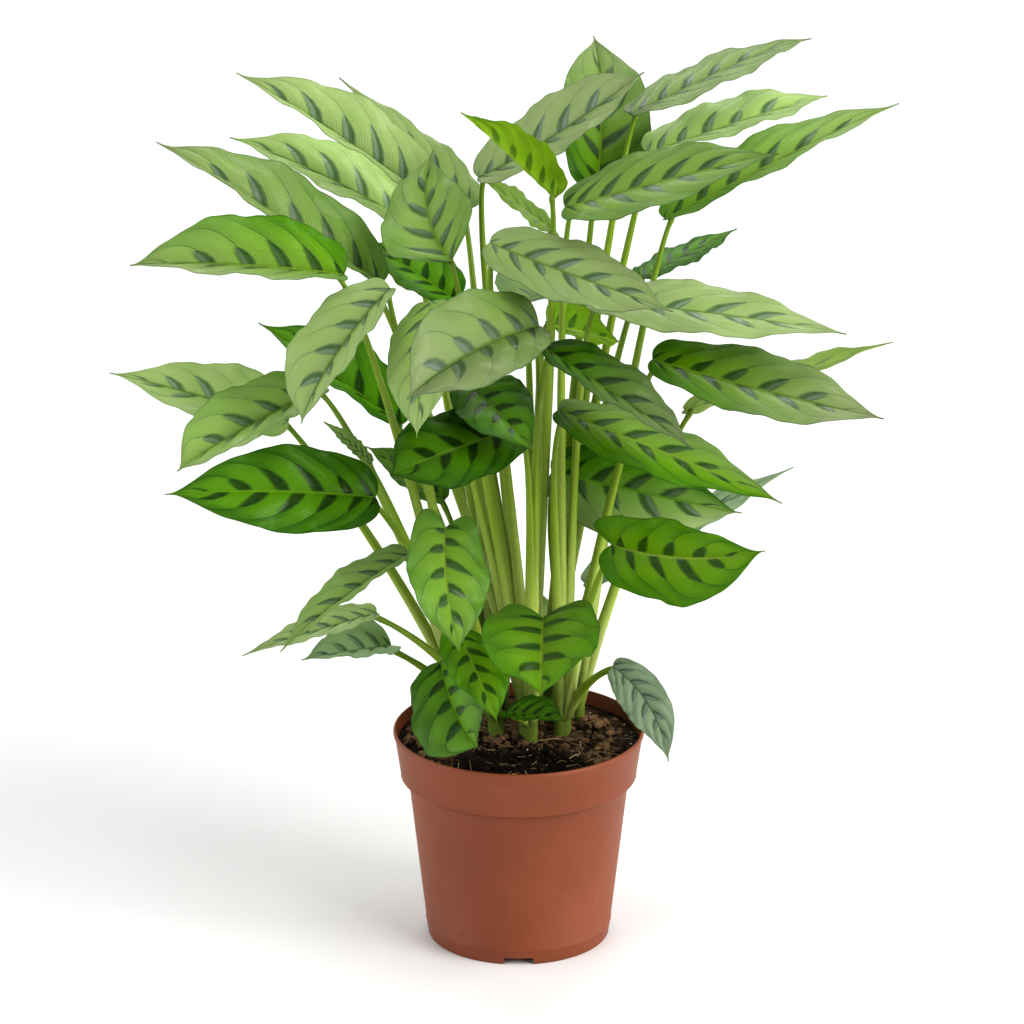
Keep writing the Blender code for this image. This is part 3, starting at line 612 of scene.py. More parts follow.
# Stalks: the sheath's screen colour, and what lies over it as the mask's reach, its strength and
# its screen colour. The layer at the foot is painted shade that darkens the stalks where they meet
# the soil. The streaks and patches are noise stretched along, around and from stalk to stalk, each
# with a scale and a detail.
SHEATH = (182, 194, 112)
STALK_GREEN = ((0.10, 0.50), 1.0, (142, 166, 46))
STALK_DEEPER = ((0.40, 0.95), 1.0, (118, 148, 28))
DARK_STREAK = ((0.45, 0.75), 0.2, (116, 146, 30))
PALE_STREAK = ((0.42, 0.2), 0.25, (192, 200, 128))
STALK_FOOT_SHADE = ((0.24, 0.03), 0.8, (84, 112, 12))
JOINT_COLOUR = (112, 118, 48)
JOINT_SHOWS = 0.6
STREAKS = (2.0, 26.0, 7.0)
STREAKS_APART = 31.0
STREAK_NOISE = (1.0, 3.0)
PATCHES = (7.0, 2.0, 19.0)
PATCH_NOISE = (1.0, 2.0)
PATCH_SHIFT = 0.25
STALK_ROUGHNESS = (0.36, 0.2)
STALK_RELIEF = 0.0002

# Pot: scale and detail of the noise for its clouds, grain and rub marks, its own screen colour,
# and what lies over it in the same way
POT_CLOUDS = (14.0, 3.0)
POT_GRAIN = (900.0, 2.0)
POT_RUBS = (70.0, 5.0)
POT_COLOUR = (127, 67, 39)
CLOUD_LAYER = ((0.3, 0.7), 1.0, (136, 74, 45))
RUB_LAYER = ((0.60, 0.74), 0.25, (152, 92, 66))
GRAIN_LAYER = ((0.62, 0.8), 0.15, (106, 54, 34))
POT_ROUGHNESS = (0.46, 0.16, 0.1)
RUB_RELIEF = 0.5
POT_RELIEF = 0.00012

# Soil: scale and detail of its lumps and specks, its darkest colour, how much of the lumps shows
# in the painted shade at its front middle and outside it, and what lies over it
SOIL_LUMPS = (150.0, 4.0)
SOIL_SPECKS = (700.0, 4.0)
PEAT_COLOUR = (4, 2, 1)
LUMPS_SHOW = (0.3, 0.7)
LUMP_LAYER = ((0.35, 0.7), (70, 52, 35))
SPECK_LAYER = ((0.55, 0.75), (104, 80, 56))
SPECKS_SHOW = 0.6
SOIL_ROUGHNESS = (0.80, 0.15)
SOIL_RELIEF = 0.0012

# Loose bits: darkest and lightest screen colour, roughness, and how much the painted shade at
# the soil's front middle darkens them. Their tone is mixed from each one's own, the specks on it
# and a constant.
CRUMB_LOOK = ((5, 3, 2), (148, 118, 88), 0.85, 0.94)
PERLITE_LOOK = ((196, 188, 172), (238, 234, 224), 0.75, 0.0)
FIBRE_LOOK = ((120, 92, 60), (206, 182, 136), 0.7, 0.0)
BIT_SPECKS = (900.0, 3.0)
BIT_SHADE = (0.8, 0.4, 0.1)
BIT_ROUGHNESS = 0.2
BIT_RELIEF = 0.0004


class Feather:
    """The pattern of a blade. Its parts are shares over the surface, most of them from 0 to 1."""

    def __init__(self, finish):
        self.finish = finish
        self.along, across = finish.map("blade")
        self.number, self.below = finish.map("leaf")
        self.side = across * 2.0 - 1.0
        self.aside = abs(self.side)
        self.wander = self.own_noise(*WANDER) - 0.5
        self.grain = self.own_noise(*GRAIN) - 0.5
        self.mottle = self.own_noise(*MOTTLE, self.number)
        self.patch = self.mottle - 0.5
        self.rib = self.aside.rise(*RIB_EDGE) * self.along.rise(*RIB_END)
        self.edge = self.aside.rise(*MARGIN_LINE)
        self.outer = self.aside.rise(*MARGIN_REACH)
        self.base = self.along.rise(*BASE_REACH)
        self.lay_painted_sheen()
        self.lay_veins()
        self.lay_bars()

    def own_noise(self, stretch, apart, scale, detail, depth=0.0):
        """Noise over the blade that differs from leaf to leaf."""
        along = self.along * stretch[0] + self.number * apart
        place = self.finish.join(along, self.side * stretch[1], depth)
        return self.finish.noise(place, scale, detail)

    def lay_painted_sheen(self):
        """How much painted sheen the blade has, and its painted light and shade in all."""
        low, high = self.finish.map("painted_sheen")
        tilt, self.light = self.finish.map("light")
        self.painted_sheen = (low + (high - low) * self.along + tilt * self.side).at_least(0.0)

    def lay_veins(self):
        """Which side vein runs through a place, and the fine veins between them."""
        lean = VEIN_LEAN[0] + VEIN_LEAN[1] * self.along
        straight = self.along - lean * self.aside - VEIN_BEND * self.aside ** 3.0
        self.vein = straight + self.wander * VEIN_WANDER
        self.fine = (self.vein * (FINE_VEINS * 2 * math.pi)).sine()

    def lay_bars(self):
        """The bars, the painted sheen along each, the vein in it and the darker bay before it."""
        bars, shift = self.finish.map("bars")
        half = self.side.rise(*HALF_STEP)
        started = (self.vein + BAR_START).at_least(0.0) ** BAR_SPREAD
        cell = started * bars * MAP_SCALE + half * BAR_STAGGER + shift * BAR_SHIFT
        whole = cell.floor()
        within = cell - whole
        off = abs(within - 0.5)
        own = self.finish.join(whole, self.number * LUCK_APART[0], half * LUCK_APART[1])
        luck = self.finish.chance(own) - 0.5
        length = BAR_LENGTH + luck * BAR_LENGTH_VARIES - BAR_SHORTENING * self.along
        share = self.aside / length
        fullest = ((1 + BAR_HEEL) / 2) ** -2
        bulge = (fullest * (share + BAR_HEEL) * (1.0 - share)).at_least(0.0) ** BAR_SHAPE
        half_width = BAR_HALF_WIDTH * bulge * self.vein.rise(*BAR_TIP_END)
        strip = abs(within - BAR_SHEEN_PLACE)
        self.bar = (half_width - off).rise(*BAR_EDGE) * share.rise(*BAR_OUTER_END)
        self.bar_painted_sheen = (BAR_SHEEN_SHARE * half_width - strip).rise(*BAR_SHEEN_EDGE)
        self.line = off.rise(VEIN_HALF_WIDTH, 0.0) * self.aside.rise(*VEIN_START)
        self.line = self.line * self.aside.rise(*VEIN_END)
        # The darker bay is partly the blade's own green and partly painted shade beside the quilting
        self.bay = within.rise(*BAY_START) * within.rise(*BAY_END) * self.aside.rise(*BAY_ASIDE)

    def mix(self, start, shares):
        """A number plus a share of each part that is named."""
        for part, share in shares.items():
            start = start + getattr(self, part) * share
        return start


def above_blade(finish, pattern, shades, painted_sheen_shades):
    """Colour of a blade's upper face, from its own shades to those of the painted sheen."""
    painted_sheen = pattern.painted_sheen
    colour = finish.blend(pattern.mix(0.0, MARGIN_MIX), shades["field"], shades["margin"])
    patches = painted_sheen + (pattern.patch + pattern.grain) * PAINTED_SHEEN_PATCHES * painted_sheen
    colour = finish.blend(patches, colour, painted_sheen_shades["field"])
    dark = finish.blend(painted_sheen * PAINTED_SHEEN_ON_BARS, shades["bar"], painted_sheen_shades["bar"])
    colour = finish.blend(pattern.line * (LINE_SHOWS - painted_sheen * LINE_FADES), colour, dark)
    colour = finish.blend(pattern.bar * (BAR_SHOWS + pattern.wander * BAR_UNEVEN), colour, dark)
    # A painted sheen along each bar, where the blade has painted sheen
    colour = finish.blend(pattern.bar_painted_sheen * painted_sheen * BAR_SHEEN_SHOWS, colour, srgb(*BAR_SHEEN_COLOUR))
    rib = finish.blend(painted_sheen, shades["rib"], painted_sheen_shades["rib"])
    colour = finish.blend(pattern.rib * RIB_SHOWS, colour, rib)
    return finish.blend(pattern.edge * EDGE_SHOWS, colour, dark)


def below_blade(finish, pattern, shades):
    """Colour of a blade's paler underside, partly painted light shining through it."""
    margin = pattern.mix(0.0, BELOW_MARGIN_MIX)
    colour = finish.blend(margin, shades["below"], shades["margin"])
    bars = pattern.mix(0.0, BELOW_BAR_MIX)
    colour = finish.blend(bars, colour, shades["bar_below"])
    return finish.blend(pattern.rib * RIB_SHOWS_BELOW, colour, shades["rib"])


def leaf_finish(tone):
    """Green with dark feather bars along the midrib, fine veins, a paler underside and painted
    sheen.
    """
    shades = {key: srgb(*value) for key, value in TONES[tone].items()}
    painted_sheen_shades = {key: srgb(*value) for key, value in PAINTED_SHEEN_TONES[tone].items()}
    finish = Finish("leaf_" + tone, IOR=1.38, Specular_IOR_Level=0.2, Coat_Roughness=0.12)
    pattern = Feather(finish)
    above = above_blade(finish, pattern, shades, painted_sheen_shades)
    under = below_blade(finish, pattern, shades)
    # Each leaf's light makes its colour lighter or darker: painted light and shade for how brightly
    # it is lit
    colour = finish.dimmed(finish.blend(pattern.below, above, under), pattern.light)
    return finish.wear(Base_Color=colour,
                       Roughness=pattern.mix(BLADE_ROUGHNESS, ROUGHNESS_MIX),
                       Coat_Weight=pattern.mix(BLADE_COAT, COAT_MIX),
                       Normal=finish.relief(pattern.mix(0.0, RELIEF_MIX), BLADE_RELIEF))


def stalk_finish():
    """Pale yellow-green with fine streaks, whiter in the sheath, and painted shade at its foot."""
    finish = Finish("stalk", IOR=1.45)
    along, around = finish.map("stalk")
    number, joint = finish.map("leaf")
    streak_place = finish.join(along * STREAKS[0] + number * STREAKS_APART,
                               around * STREAKS[1], number * STREAKS[2])
    streak = finish.noise(streak_place, *STREAK_NOISE)
    patch_place = finish.join(along * PATCHES[0], around * PATCHES[1], number * PATCHES[2])
    share = along + (finish.noise(patch_place, *PATCH_NOISE) - 0.5) * PATCH_SHIFT
    colour = finish.layer(srgb(*SHEATH), share, *STALK_GREEN)
    colour = finish.layer(colour, share, *STALK_DEEPER)
    colour = finish.layer(colour, streak, *DARK_STREAK)
    colour = finish.layer(colour, streak, *PALE_STREAK)
    colour = finish.blend(joint * JOINT_SHOWS, colour, srgb(*JOINT_COLOUR))
    # Painted shade darkens the foot where it meets the soil
    colour = finish.layer(colour, share, *STALK_FOOT_SHADE)
    roughness = STALK_ROUGHNESS[0] + (streak - 0.5) * STALK_ROUGHNESS[1]
    return finish.wear(Base_Color=colour, Roughness=roughness,
                       Normal=finish.relief(streak, STALK_RELIEF))


def pot_finish():
    """Terracotta-coloured plastic with a slight mottle, rub marks and a fine grain."""
    finish = Finish("terracotta_plastic", IOR=1.46)
    place = finish.coordinates("Object")
    cloud = finish.noise(place, *POT_CLOUDS)
    grain = finish.noise(place, *POT_GRAIN)
    rub = finish.noise(place, *POT_RUBS)
    colour = finish.layer(srgb(*POT_COLOUR), cloud, *CLOUD_LAYER)
    colour = finish.layer(colour, rub, *RUB_LAYER)
    colour = finish.layer(colour, grain, *GRAIN_LAYER)
    usual, clouded, grained = POT_ROUGHNESS
    roughness = usual + (cloud - 0.5) * clouded + (grain - 0.5) * grained
    return finish.wear(Base_Color=colour, Roughness=roughness,
                       Normal=finish.relief(grain + rub * RUB_RELIEF, POT_RELIEF))


def soil_finish():
    """Dark damp peat with browner lumps and specks, darkened by painted shade at its front middle.
    """
    finish = Finish("peat", IOR=1.4, Specular_IOR_Level=0.2)
    place = finish.coordinates("Object")
    lump = finish.noise(place, *SOIL_LUMPS)
    speck = finish.noise(place, *SOIL_SPECKS)
    # A painted shade darkens the soil's front middle, where lumps and specks show less
    out_of_shade = finish.out_of_painted_shade()
    shown = LUMPS_SHOW[0] + out_of_shade * LUMPS_SHOW[1]
    colour = finish.layer(srgb(*PEAT_COLOUR), lump, LUMP_LAYER[0], shown, LUMP_LAYER[1])
    colour = finish.layer(colour, speck, SPECK_LAYER[0], out_of_shade * SPECKS_SHOW, SPECK_LAYER[1])
    return finish.wear(Base_Color=colour,
                       Roughness=SOIL_ROUGHNESS[0] + speck * SOIL_ROUGHNESS[1],
                       Normal=finish.relief(speck + lump, SOIL_RELIEF))


def bit_finish(name, dark, light, roughness, shade_darkens):
    """A finish for loose bits, each one's own tone between two colours, darker in the painted shade.
    """
    finish = Finish(name, IOR=1.4, Specular_IOR_Level=0.2)
    own, _ = finish.map("bit")
    speck = finish.noise(finish.coordinates("Object"), *BIT_SPECKS)
    share = own * BIT_SHADE[0] + speck * BIT_SHADE[1] - BIT_SHADE[2]
    # The painted shade at the soil's front middle darkens the bits there as well
    share = share * (1 - shade_darkens + finish.out_of_painted_shade() * shade_darkens)
    colour = finish.blend(share, srgb(*dark), srgb(*light))
    return finish.wear(Base_Color=colour, Roughness=roughness + (speck - 0.5) * BIT_ROUGHNESS,
                       Normal=finish.relief(speck, BIT_RELIEF))


def floor_finish():
    """Plain matt paint."""
    finish = Finish("floor", Roughness=0.9)
    return finish.wear(Base_Color=srgb(*FLOOR_COLOUR))


def unit(vector):
    """A vector of length 1 in the same direction."""
    return vector / np.linalg.norm(vector)


def spoke(turn):
    """The direction at an angle about Z."""
    return np.array([math.cos(turn), math.sin(turn), 0.0])


def curve(share, start, one, two, end):
    """A place on the curve from start to end that leaves towards one and arrives from two."""
    rest = 1 - share
    place = rest ** 3 * start + 3 * share * rest ** 2 * one + 3 * share ** 2 * rest * two
    return place + share ** 3 * end


def new_piece(name, points, faces, material, maps=None):
    """A mesh object with its maps, whose faces are then turned to point out."""
    mesh = bpy.data.meshes.new(name)
    mesh.from_pydata([tuple(point) for point in points], [], faces)
    for key, values in (maps or {}).items():
        add_map(mesh, key, values)
    skin = bmesh.new()
    skin.from_mesh(mesh)
    bmesh.ops.recalc_face_normals(skin, faces=skin.faces)
    skin.to_mesh(mesh)
    skin.free()
    smooth(mesh)
    mesh.materials.append(material)
    piece = bpy.data.objects.new(name, mesh)
    bpy.context.scene.collection.objects.link(piece)
    return piece


def smooth(mesh):
    """Shades a mesh smooth, but for its sharp edges."""
    mesh.shade_smooth()
    mesh.set_sharp_from_angle(angle=math.radians(SHARP_ANGLE))


def add_map(mesh, name, values):
    """A UV map from a pair of numbers for each point of each face, or one pair for all."""
    layer = mesh.uv_layers.new(name=name)
    wanted = np.broadcast_to(np.asarray(values, np.float32), (len(mesh.loops), 2))
    layer.data.foreach_set("uv", np.ascontiguousarray(wanted).ravel())


def settle(piece, slot, *nodes):
    """The piece rides on the part and stands for its nodes. The slot is not used."""
    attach(piece, "root")
    if nodes:
        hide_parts(*nodes)


def bridge(first, second):
    """Quads between two closed rings of point numbers."""
    count = len(first)
    return [(first[k], first[(k + 1) % count], second[(k + 1) % count], second[k])
            for k in range(count)]


def turned_mesh(profile, sides):
    """Points and faces of a profile of (radius, height) turned about Z.

    The profile runs from a point on the axis to another, so the mesh is closed."""
    points = [(0.0, 0.0, profile[0][1])]
    faces = []
    rings = []
    for radius, height in profile[1:-1]:
        ring = []
        for k in range(sides):
            turn = 2 * math.pi * k / sides
            ring.append(len(points))
            points.append((radius * math.cos(turn), radius * math.sin(turn), height))
        rings.append(ring)
    last = len(points)
    points.append((0.0, 0.0, profile[-1][1]))
    for lower, upper in zip(rings, rings[1:]):
        faces += bridge(lower, upper)
    for k in range(sides):
        faces.append((0, rings[0][k], rings[0][(k + 1) % sides]))
        faces.append((last, rings[-1][k], rings[-1][(k + 1) % sides]))
    return points, faces


def cut(piece, cutter):
    """Cuts the cutter's shape out of a piece and removes the cutter."""
    step = piece.modifiers.new("cut", "BOOLEAN")
    step.operation = "DIFFERENCE"
    step.solver = "EXACT"
    step.object = cutter
    graph = bpy.context.evaluated_depsgraph_get()
    made = bpy.data.meshes.new_from_object(piece.evaluated_get(graph))
    piece.modifiers.clear()
    piece.data = made
    smooth(made)
    bpy.data.objects.remove(cutter, do_unlink=True)


def inside_profile():
    """The pot's inner wall, from its floor up to its lip, as (radius, height)."""
    floor = SKIRT_HEIGHT + FLOOR
    return [
        (BASE_RADIUS - WALL - FOOT_CHAMFER, floor),
        (BASE_RADIUS - WALL - FOOT_ROUND, floor + FOOT_ROUND),
        (BASE_RADIUS - WALL, floor + FOOT_CHAMFER),
        (NECK_RADIUS - WALL, NECK_HEIGHT + STEP_RISE),
        (BAND_RADIUS - WALL, BAND_BOTTOM),
        (RIM_RADIUS - WALL, POT_HEIGHT - LIP_DROP),
        (RIM_RADIUS - WALL + LIP_INSIDE[0], POT_HEIGHT + LIP_INSIDE[1]),
    ]


def build_pot(material):
    """The moulded pot, with a rounded lip, a soft step under its band and a fine ring line."""
    slope = (NECK_RADIUS - BASE_RADIUS) / (NECK_HEIGHT - FOOT_CHAMFER)
    ring = BASE_RADIUS + slope * (RING_HEIGHT - FOOT_CHAMFER)
    underside = [
        (0.0, 0.0),
        (DISC_RADIUS, 0.0),
        (DISC_RADIUS + DISC_SLOPE, SKIRT_HEIGHT),
        (BASE_RADIUS - SKIRT_WIDTH - FOOT_CHAMFER, SKIRT_HEIGHT),
        (BASE_RADIUS - SKIRT_WIDTH, 0.0),
    ]
    outside = [
        (BASE_RADIUS - FOOT_CHAMFER, 0.0),
        (BASE_RADIUS - FOOT_ROUND, FOOT_ROUND),
        (BASE_RADIUS, FOOT_CHAMFER),
        (ring + RING_EDGES[0] * slope, RING_HEIGHT + RING_EDGES[0]),
        (ring + RING_STAND, RING_HEIGHT + RING_FACE[0]),
        (ring + RING_STAND, RING_HEIGHT + RING_FACE[1]),
        (ring + RING_EDGES[1] * slope, RING_HEIGHT + RING_EDGES[1]),
        *((NECK_RADIUS + out, NECK_HEIGHT + up) for out, up in STEP_CURVE),
        (BAND_RADIUS, BAND_BOTTOM),
        *((RIM_RADIUS + out, POT_HEIGHT + up) for out, up in LIP_CURVE),
        (LIP_RADIUS, POT_HEIGHT),
    ]
    dish = [
        (DISC_RADIUS + DISC_SLOPE - DISH_INSET, SKIRT_HEIGHT + FLOOR),
        (DISC_RADIUS - DISH_INSET, FLOOR),
        (0.0, FLOOR),
    ]
    inside = list(reversed(inside_profile()))
    points, faces = turned_mesh(underside + outside + inside + dish, POT_SIDES)
    pot = new_piece("nursery_pot", points, faces, material)
    for number in range(NOTCH_COUNT):
        turn = math.radians(NOTCH_START + 360 * number / NOTCH_COUNT)
        cut(pot, notch_cutter(turn, material))
        cut(pot, drain_cutter(turn + math.pi / NOTCH_COUNT, material))
    settle(pot, "pot_plastic", "pot")


def notch_cutter(turn, material):
    """A flat-topped slot through the skirt, with its length along the turn's direction."""
    low, high = NOTCH_WIDTH / 2, NOTCH_TOP_WIDTH / 2
    outline = [(-low, -NOTCH_HEIGHT), (low, -NOTCH_HEIGHT), (low, 0.0), (high, NOTCH_HEIGHT),
               (-high, NOTCH_HEIGHT), (-low, 0.0)]
    ahead = spoke(turn)
    aside = np.array([-ahead[1], ahead[0], 0.0])
    count = len(outline)
    points = [reach * ahead + across * aside + height * UP
              for reach in (BASE_RADIUS - CUT_PAST, BASE_RADIUS + CUT_PAST)
              for across, height in outline]
    near = list(range(count))
    far = list(range(count, 2 * count))
    faces = bridge(near, far) + [tuple(near), tuple(far)]
    return new_piece("notch_cutter", points, faces, material)


def drain_cutter(turn, material):
    """A round plug through the raised floor."""
    profile = [(0.0, -CUT_PAST), (DRAIN_RADIUS, -CUT_PAST), (DRAIN_RADIUS, 2 * CUT_PAST),
               (0.0, 2 * CUT_PAST)]
    points, faces = turned_mesh(profile, DRAIN_SIDES)
    points = [np.array(point) + DRAIN_PLACE * spoke(turn) for point in points]
    return new_piece("drain_cutter", points, faces, material)


def soil_height(x, y):
    """Height of the lumpy soil, with a shallow hollow among the shoots."""
    lumps = sum(share * math.sin(turn_x * x + turn_y * y + start)
                for share, turn_x, turn_y, start in SOIL_WAVES)
    hollow = math.exp(-(x ** 2 + (y - HOLLOW_PLACE) ** 2) / HOLLOW_WIDTH ** 2)
    grain = noise.fractal(Vector((x, y, 0.0)) * SOIL_GRAIN_TURNS, *SOIL_GRAIN_FORM)
    return SOIL_TOP + SOIL_LUMP * lumps - SOIL_HOLLOW * hollow + SOIL_GRAIN * grain


def soil_edge():
    """Radius of the soil's top, just inside the pot's wall."""
    below, above = inside_profile()[-3:-1]
    share = (SOIL_TOP - below[1]) / (above[1] - below[1])
    return below[0] + share * (above[0] - below[0]) - GAP


def build_soil(material):
    """The root ball, with a crumbly top."""
    wall = inside_profile()
    profile = [(0.0, FLOOR + GAP), (DISC_RADIUS - DISH_INSET - GAP, FLOOR + GAP),
               (DISC_RADIUS + DISC_SLOPE - DISH_INSET, wall[0][1] + GAP)]
    profile += [(radius - GAP, height + GAP) for radius, height in wall[:5]]
    edge = soil_edge()
    profile += [(edge * (1 - k / SOIL_RINGS), SOIL_TOP) for k in range(SOIL_RINGS)]
    profile += [(0.0, SOIL_TOP)]
    points, faces = turned_mesh(profile, SOIL_SIDES)
    top = SOIL_SIDES * (SOIL_RINGS - 1) + 1
    for number in range(len(points) - top, len(points)):
        x, y, _ = points[number]
        points[number] = (x, y, soil_height(x, y))
    soil = new_piece("soil_ball", points, faces, material)
    settle(soil, "soil_peat", "soil")


def on_soil(draw, reach):
    """A drawn place on the soil, as far out as a share of its edge."""
    radius = soil_edge() * reach * math.sqrt(draw.random())
    turn = draw.uniform(0, 2 * math.pi)
    x, y = radius * math.cos(turn), radius * math.sin(turn)
    return np.array([x, y, soil_height(x, y)])


def lump_shape():
    """Points and faces of a small round lump."""
    skin = bmesh.new()
    bmesh.ops.create_icosphere(skin, subdivisions=1, radius=1.0)
    points = np.array([tuple(point.co) for point in skin.verts])
    faces = [tuple(point.index for point in face.verts) for face in skin.faces]
    skin.free()
    return points, faces


def by_foot(draw):
    """A drawn place on the soil against the foot of a shoot."""
    foot = draw.choice(list(FEET.values()))
    turn = draw.uniform(0, 2 * math.pi)
    reach = draw.uniform(*HEAP_REACH)
    x, y = foot[0] + reach * math.cos(turn), foot[1] + reach * math.sin(turn)
    return np.array([x, y, soil_height(x, y)])


def build_lumps(name, count, sizes, lift, draw, material, heaped=0):
    """Many uneven lumps that lie on the soil, some heaped against the feet, as one piece."""
    shape, shape_faces = lump_shape()
    points, faces, shades = [], [], []
    for number in range(count):
        size = sizes[0] + (sizes[1] - sizes[0]) * draw.random() ** 2
        place = on_soil(draw, LUMP_REACH - size / soil_edge())
        if number < heaped:
            place = by_foot(draw)
        stretch = np.array([draw.uniform(*reach) for reach in LUMP_STRETCH])
        turn = draw.uniform(0, 2 * math.pi)
        spin = np.array([[math.cos(turn), -math.sin(turn), 0.0],
                         [math.sin(turn), math.cos(turn), 0.0], [0.0, 0.0, 1.0]])
        uneven = np.array([draw.uniform(*LUMP_UNEVEN) for _ in shape])
        lump = (shape * uneven[:, None] * stretch) @ spin.T * size
        start = len(points)
        points += list(lump + place + size * lift * UP)
        faces += [tuple(start + k for k in face) for face in shape_faces]
        shades += [draw.random()] * (3 * len(shape_faces))
    shades = {"bit": np.column_stack([shades, shades])}
    settle(new_piece(name, points, faces, material, shades), "soil_peat")


def fibre_route(draw):
    """Centre points and radii of a bent fibre on the soil, one end of it lifted."""
    length = draw.uniform(*FIBRE_LENGTH)
    middle = on_soil(draw, FIBRE_REACH)
    turn = draw.uniform(0, 2 * math.pi)
    bend = draw.uniform(-FIBRE_BEND, FIBRE_BEND)
    thick = FIBRE_RADIUS * draw.uniform(*FIBRE_THICKNESS)
    tilt = draw.uniform(-FIBRE_TILT, FIBRE_TILT)
    route = []
    place = middle[:2] - 0.5 * length * spoke(turn)[:2]
    for k in range(FIBRE_STEPS + 1):
        off_middle = k / FIBRE_STEPS - 0.5
        heading = turn + bend * off_middle
        place = place + length / FIBRE_STEPS * spoke(heading)[:2]
        place = place * min(1.0, FIBRE_LIMIT * soil_edge() / np.linalg.norm(place))
        lift = abs(tilt) * length * (0.5 + 2 * tilt * off_middle) * FIBRE_RISE
        height = (soil_height(*place) + middle[2]) / 2 + thick + FIBRE_LIFT + lift
        route.append((np.array([*place, height]), thick * (1 - FIBRE_TAPER * k / FIBRE_STEPS)))
    return route


def build_fibres(draw, material):
    """Straw-coloured root fibres scattered on the soil, as one piece."""
    points, faces, shades = [], [], []
    for _ in range(FIBRES):
        route = fibre_route(draw)
        tube_points, tube_faces = tube_mesh(route, UP, FIBRE_SIDES)
        start = len(points)
        points += tube_points
        faces += [tuple(start + k for k in face) for face in tube_faces]
        shades += [draw.random()] * sum(len(face) for face in tube_faces)
    shades = {"bit": np.column_stack([shades, shades])}
    settle(new_piece("soil_fibres", points, faces, material, shades), "soil_peat")


def leaf_axes(form):
    """Where a leaf starts and ends, and its directions: ahead, out of its face, to its side."""
    join = np.array(form["join"])
    tip = np.array(form["tip"])
    ahead = unit(tip - join)
    level = unit(UP - ahead * (UP @ ahead))
    across = np.cross(level, ahead)
    roll = math.radians(form["roll"])
    face = level * math.cos(roll) + across * math.sin(roll)
    return join, tip, ahead, face, np.cross(face, ahead)


def half_outline(form, along):
    """Half width of the blade, as a share of its greatest, from the join to the tip."""
    widest = form["widest"]
    back = np.sqrt(np.clip(1 - ((widest - along) / widest) ** 2, 0, 1))
    ahead = np.clip((along - widest) / (1 - widest), 0, 1)
    front = (1 - ahead ** form["taper"]) ** (TIP_SHARPNESS + TIP_DRAWN * ahead ** TIP_REACH)
    return np.where(along < widest, back, front)


def midrib(form, along):
    """Place, direction, face normal and side direction of the midrib at the shares along it."""
    join, tip, ahead, face, side = leaf_axes(form)
    length = np.linalg.norm(tip - join)
    rise, drop = form["arch"]
    one = join + length * (RIB_BENDS[0] * ahead + rise * face + form["sweep"] * side)
    two = join + length * (RIB_BENDS[1] * ahead + drop * face + form["sweep"] * side)
    along = np.asarray(along, float)[..., None]
    inner = np.clip(along, 0, None)
    rest = 1 - inner
    place = curve(inner, join, one, two, tip)
    speed = 3 * rest ** 2 * (one - join) + 6 * inner * rest * (two - one)
    speed = speed + 3 * inner ** 2 * (tip - two)
    place = place + (along - inner) * speed
    tangent = speed / np.linalg.norm(speed, axis=-1, keepdims=True)
    normal = face - tangent * (tangent @ face)[..., None]
    normal = normal / np.linalg.norm(normal, axis=-1, keepdims=True)
    return place, tangent, normal, np.cross(normal, tangent)


def bar_cell(form, along, aside):
    """Which bar of the pattern a place is at: whole numbers lie between two bars."""
    share = np.abs(aside)
    lean = VEIN_LEAN[0] + VEIN_LEAN[1] * along
    vein = along - lean * share - VEIN_BEND * share ** 3
    half = np.where(aside > 0, 1.0, 0.0)
    started = np.clip(vein + BAR_START, 0, None) ** BAR_SPREAD
    return started * form["bars"] * MAP_SCALE + half * BAR_STAGGER + form["shift"] * BAR_SHIFT


def blade_surface(form, along, aside):
    """Points of the blade's upper face: along runs from join to tip, aside from -1 to 1."""
    along, aside = np.broadcast_arrays(np.asarray(along, float), np.asarray(aside, float))
    share = np.abs(aside)
    near = np.clip(along / LOBE_REACH, 0, 1)
    back = form["lobe"] * np.sin(np.pi * np.sqrt(near)) * share ** LOBE_CURVE
    place, _, normal, across = midrib(form, along - back)
    outline = half_outline(form, along)
    reach = share * form["width"] / 2 * outline
    angle = math.radians(form["fold"]) + math.radians(form["cup"]) * share / 2
    turns = 2 * np.pi * (WAVES * along + form["phase"]) + WAVE_OFFSET * np.sign(aside)
    fade = np.clip(WAVE_FADE * outline, 0, 1)
    wave = form["wave"] * form["width"] * aside ** 2 * np.sin(turns) * fade
    quilt = np.cos(2 * np.pi * bar_cell(form, along, aside)) * QUILT_HEIGHT
    quilt = quilt * 4 * share * (1 - share) * fade
    ripple = EDGE_RIPPLE * share ** EDGE_RIPPLE_REACH * outline
    ripple_turns = 2 * np.pi * (EDGE_RIPPLES * along + form["phase"] * EDGE_RIPPLE_PHASES)
    ripple = ripple * np.sin(ripple_turns)
    point = place + across * (np.sign(aside) * reach * np.cos(angle))[..., None]
    return point + normal * (reach * np.sin(angle) + wave + quilt + ripple)[..., None]


def blade_normals(form, along, aside):
    """Normals of the upper face, from short steps on it."""
    lengthways = (blade_surface(form, along + SMALL_STEP, aside)
                  - blade_surface(form, along - SMALL_STEP, aside))
    sideways = (blade_surface(form, along, np.minimum(aside + SMALL_STEP, 1.0))
                - blade_surface(form, along, np.maximum(aside - SMALL_STEP, -1.0)))
    made = np.cross(lengthways, sideways)
    return made / np.linalg.norm(made, axis=-1, keepdims=True)


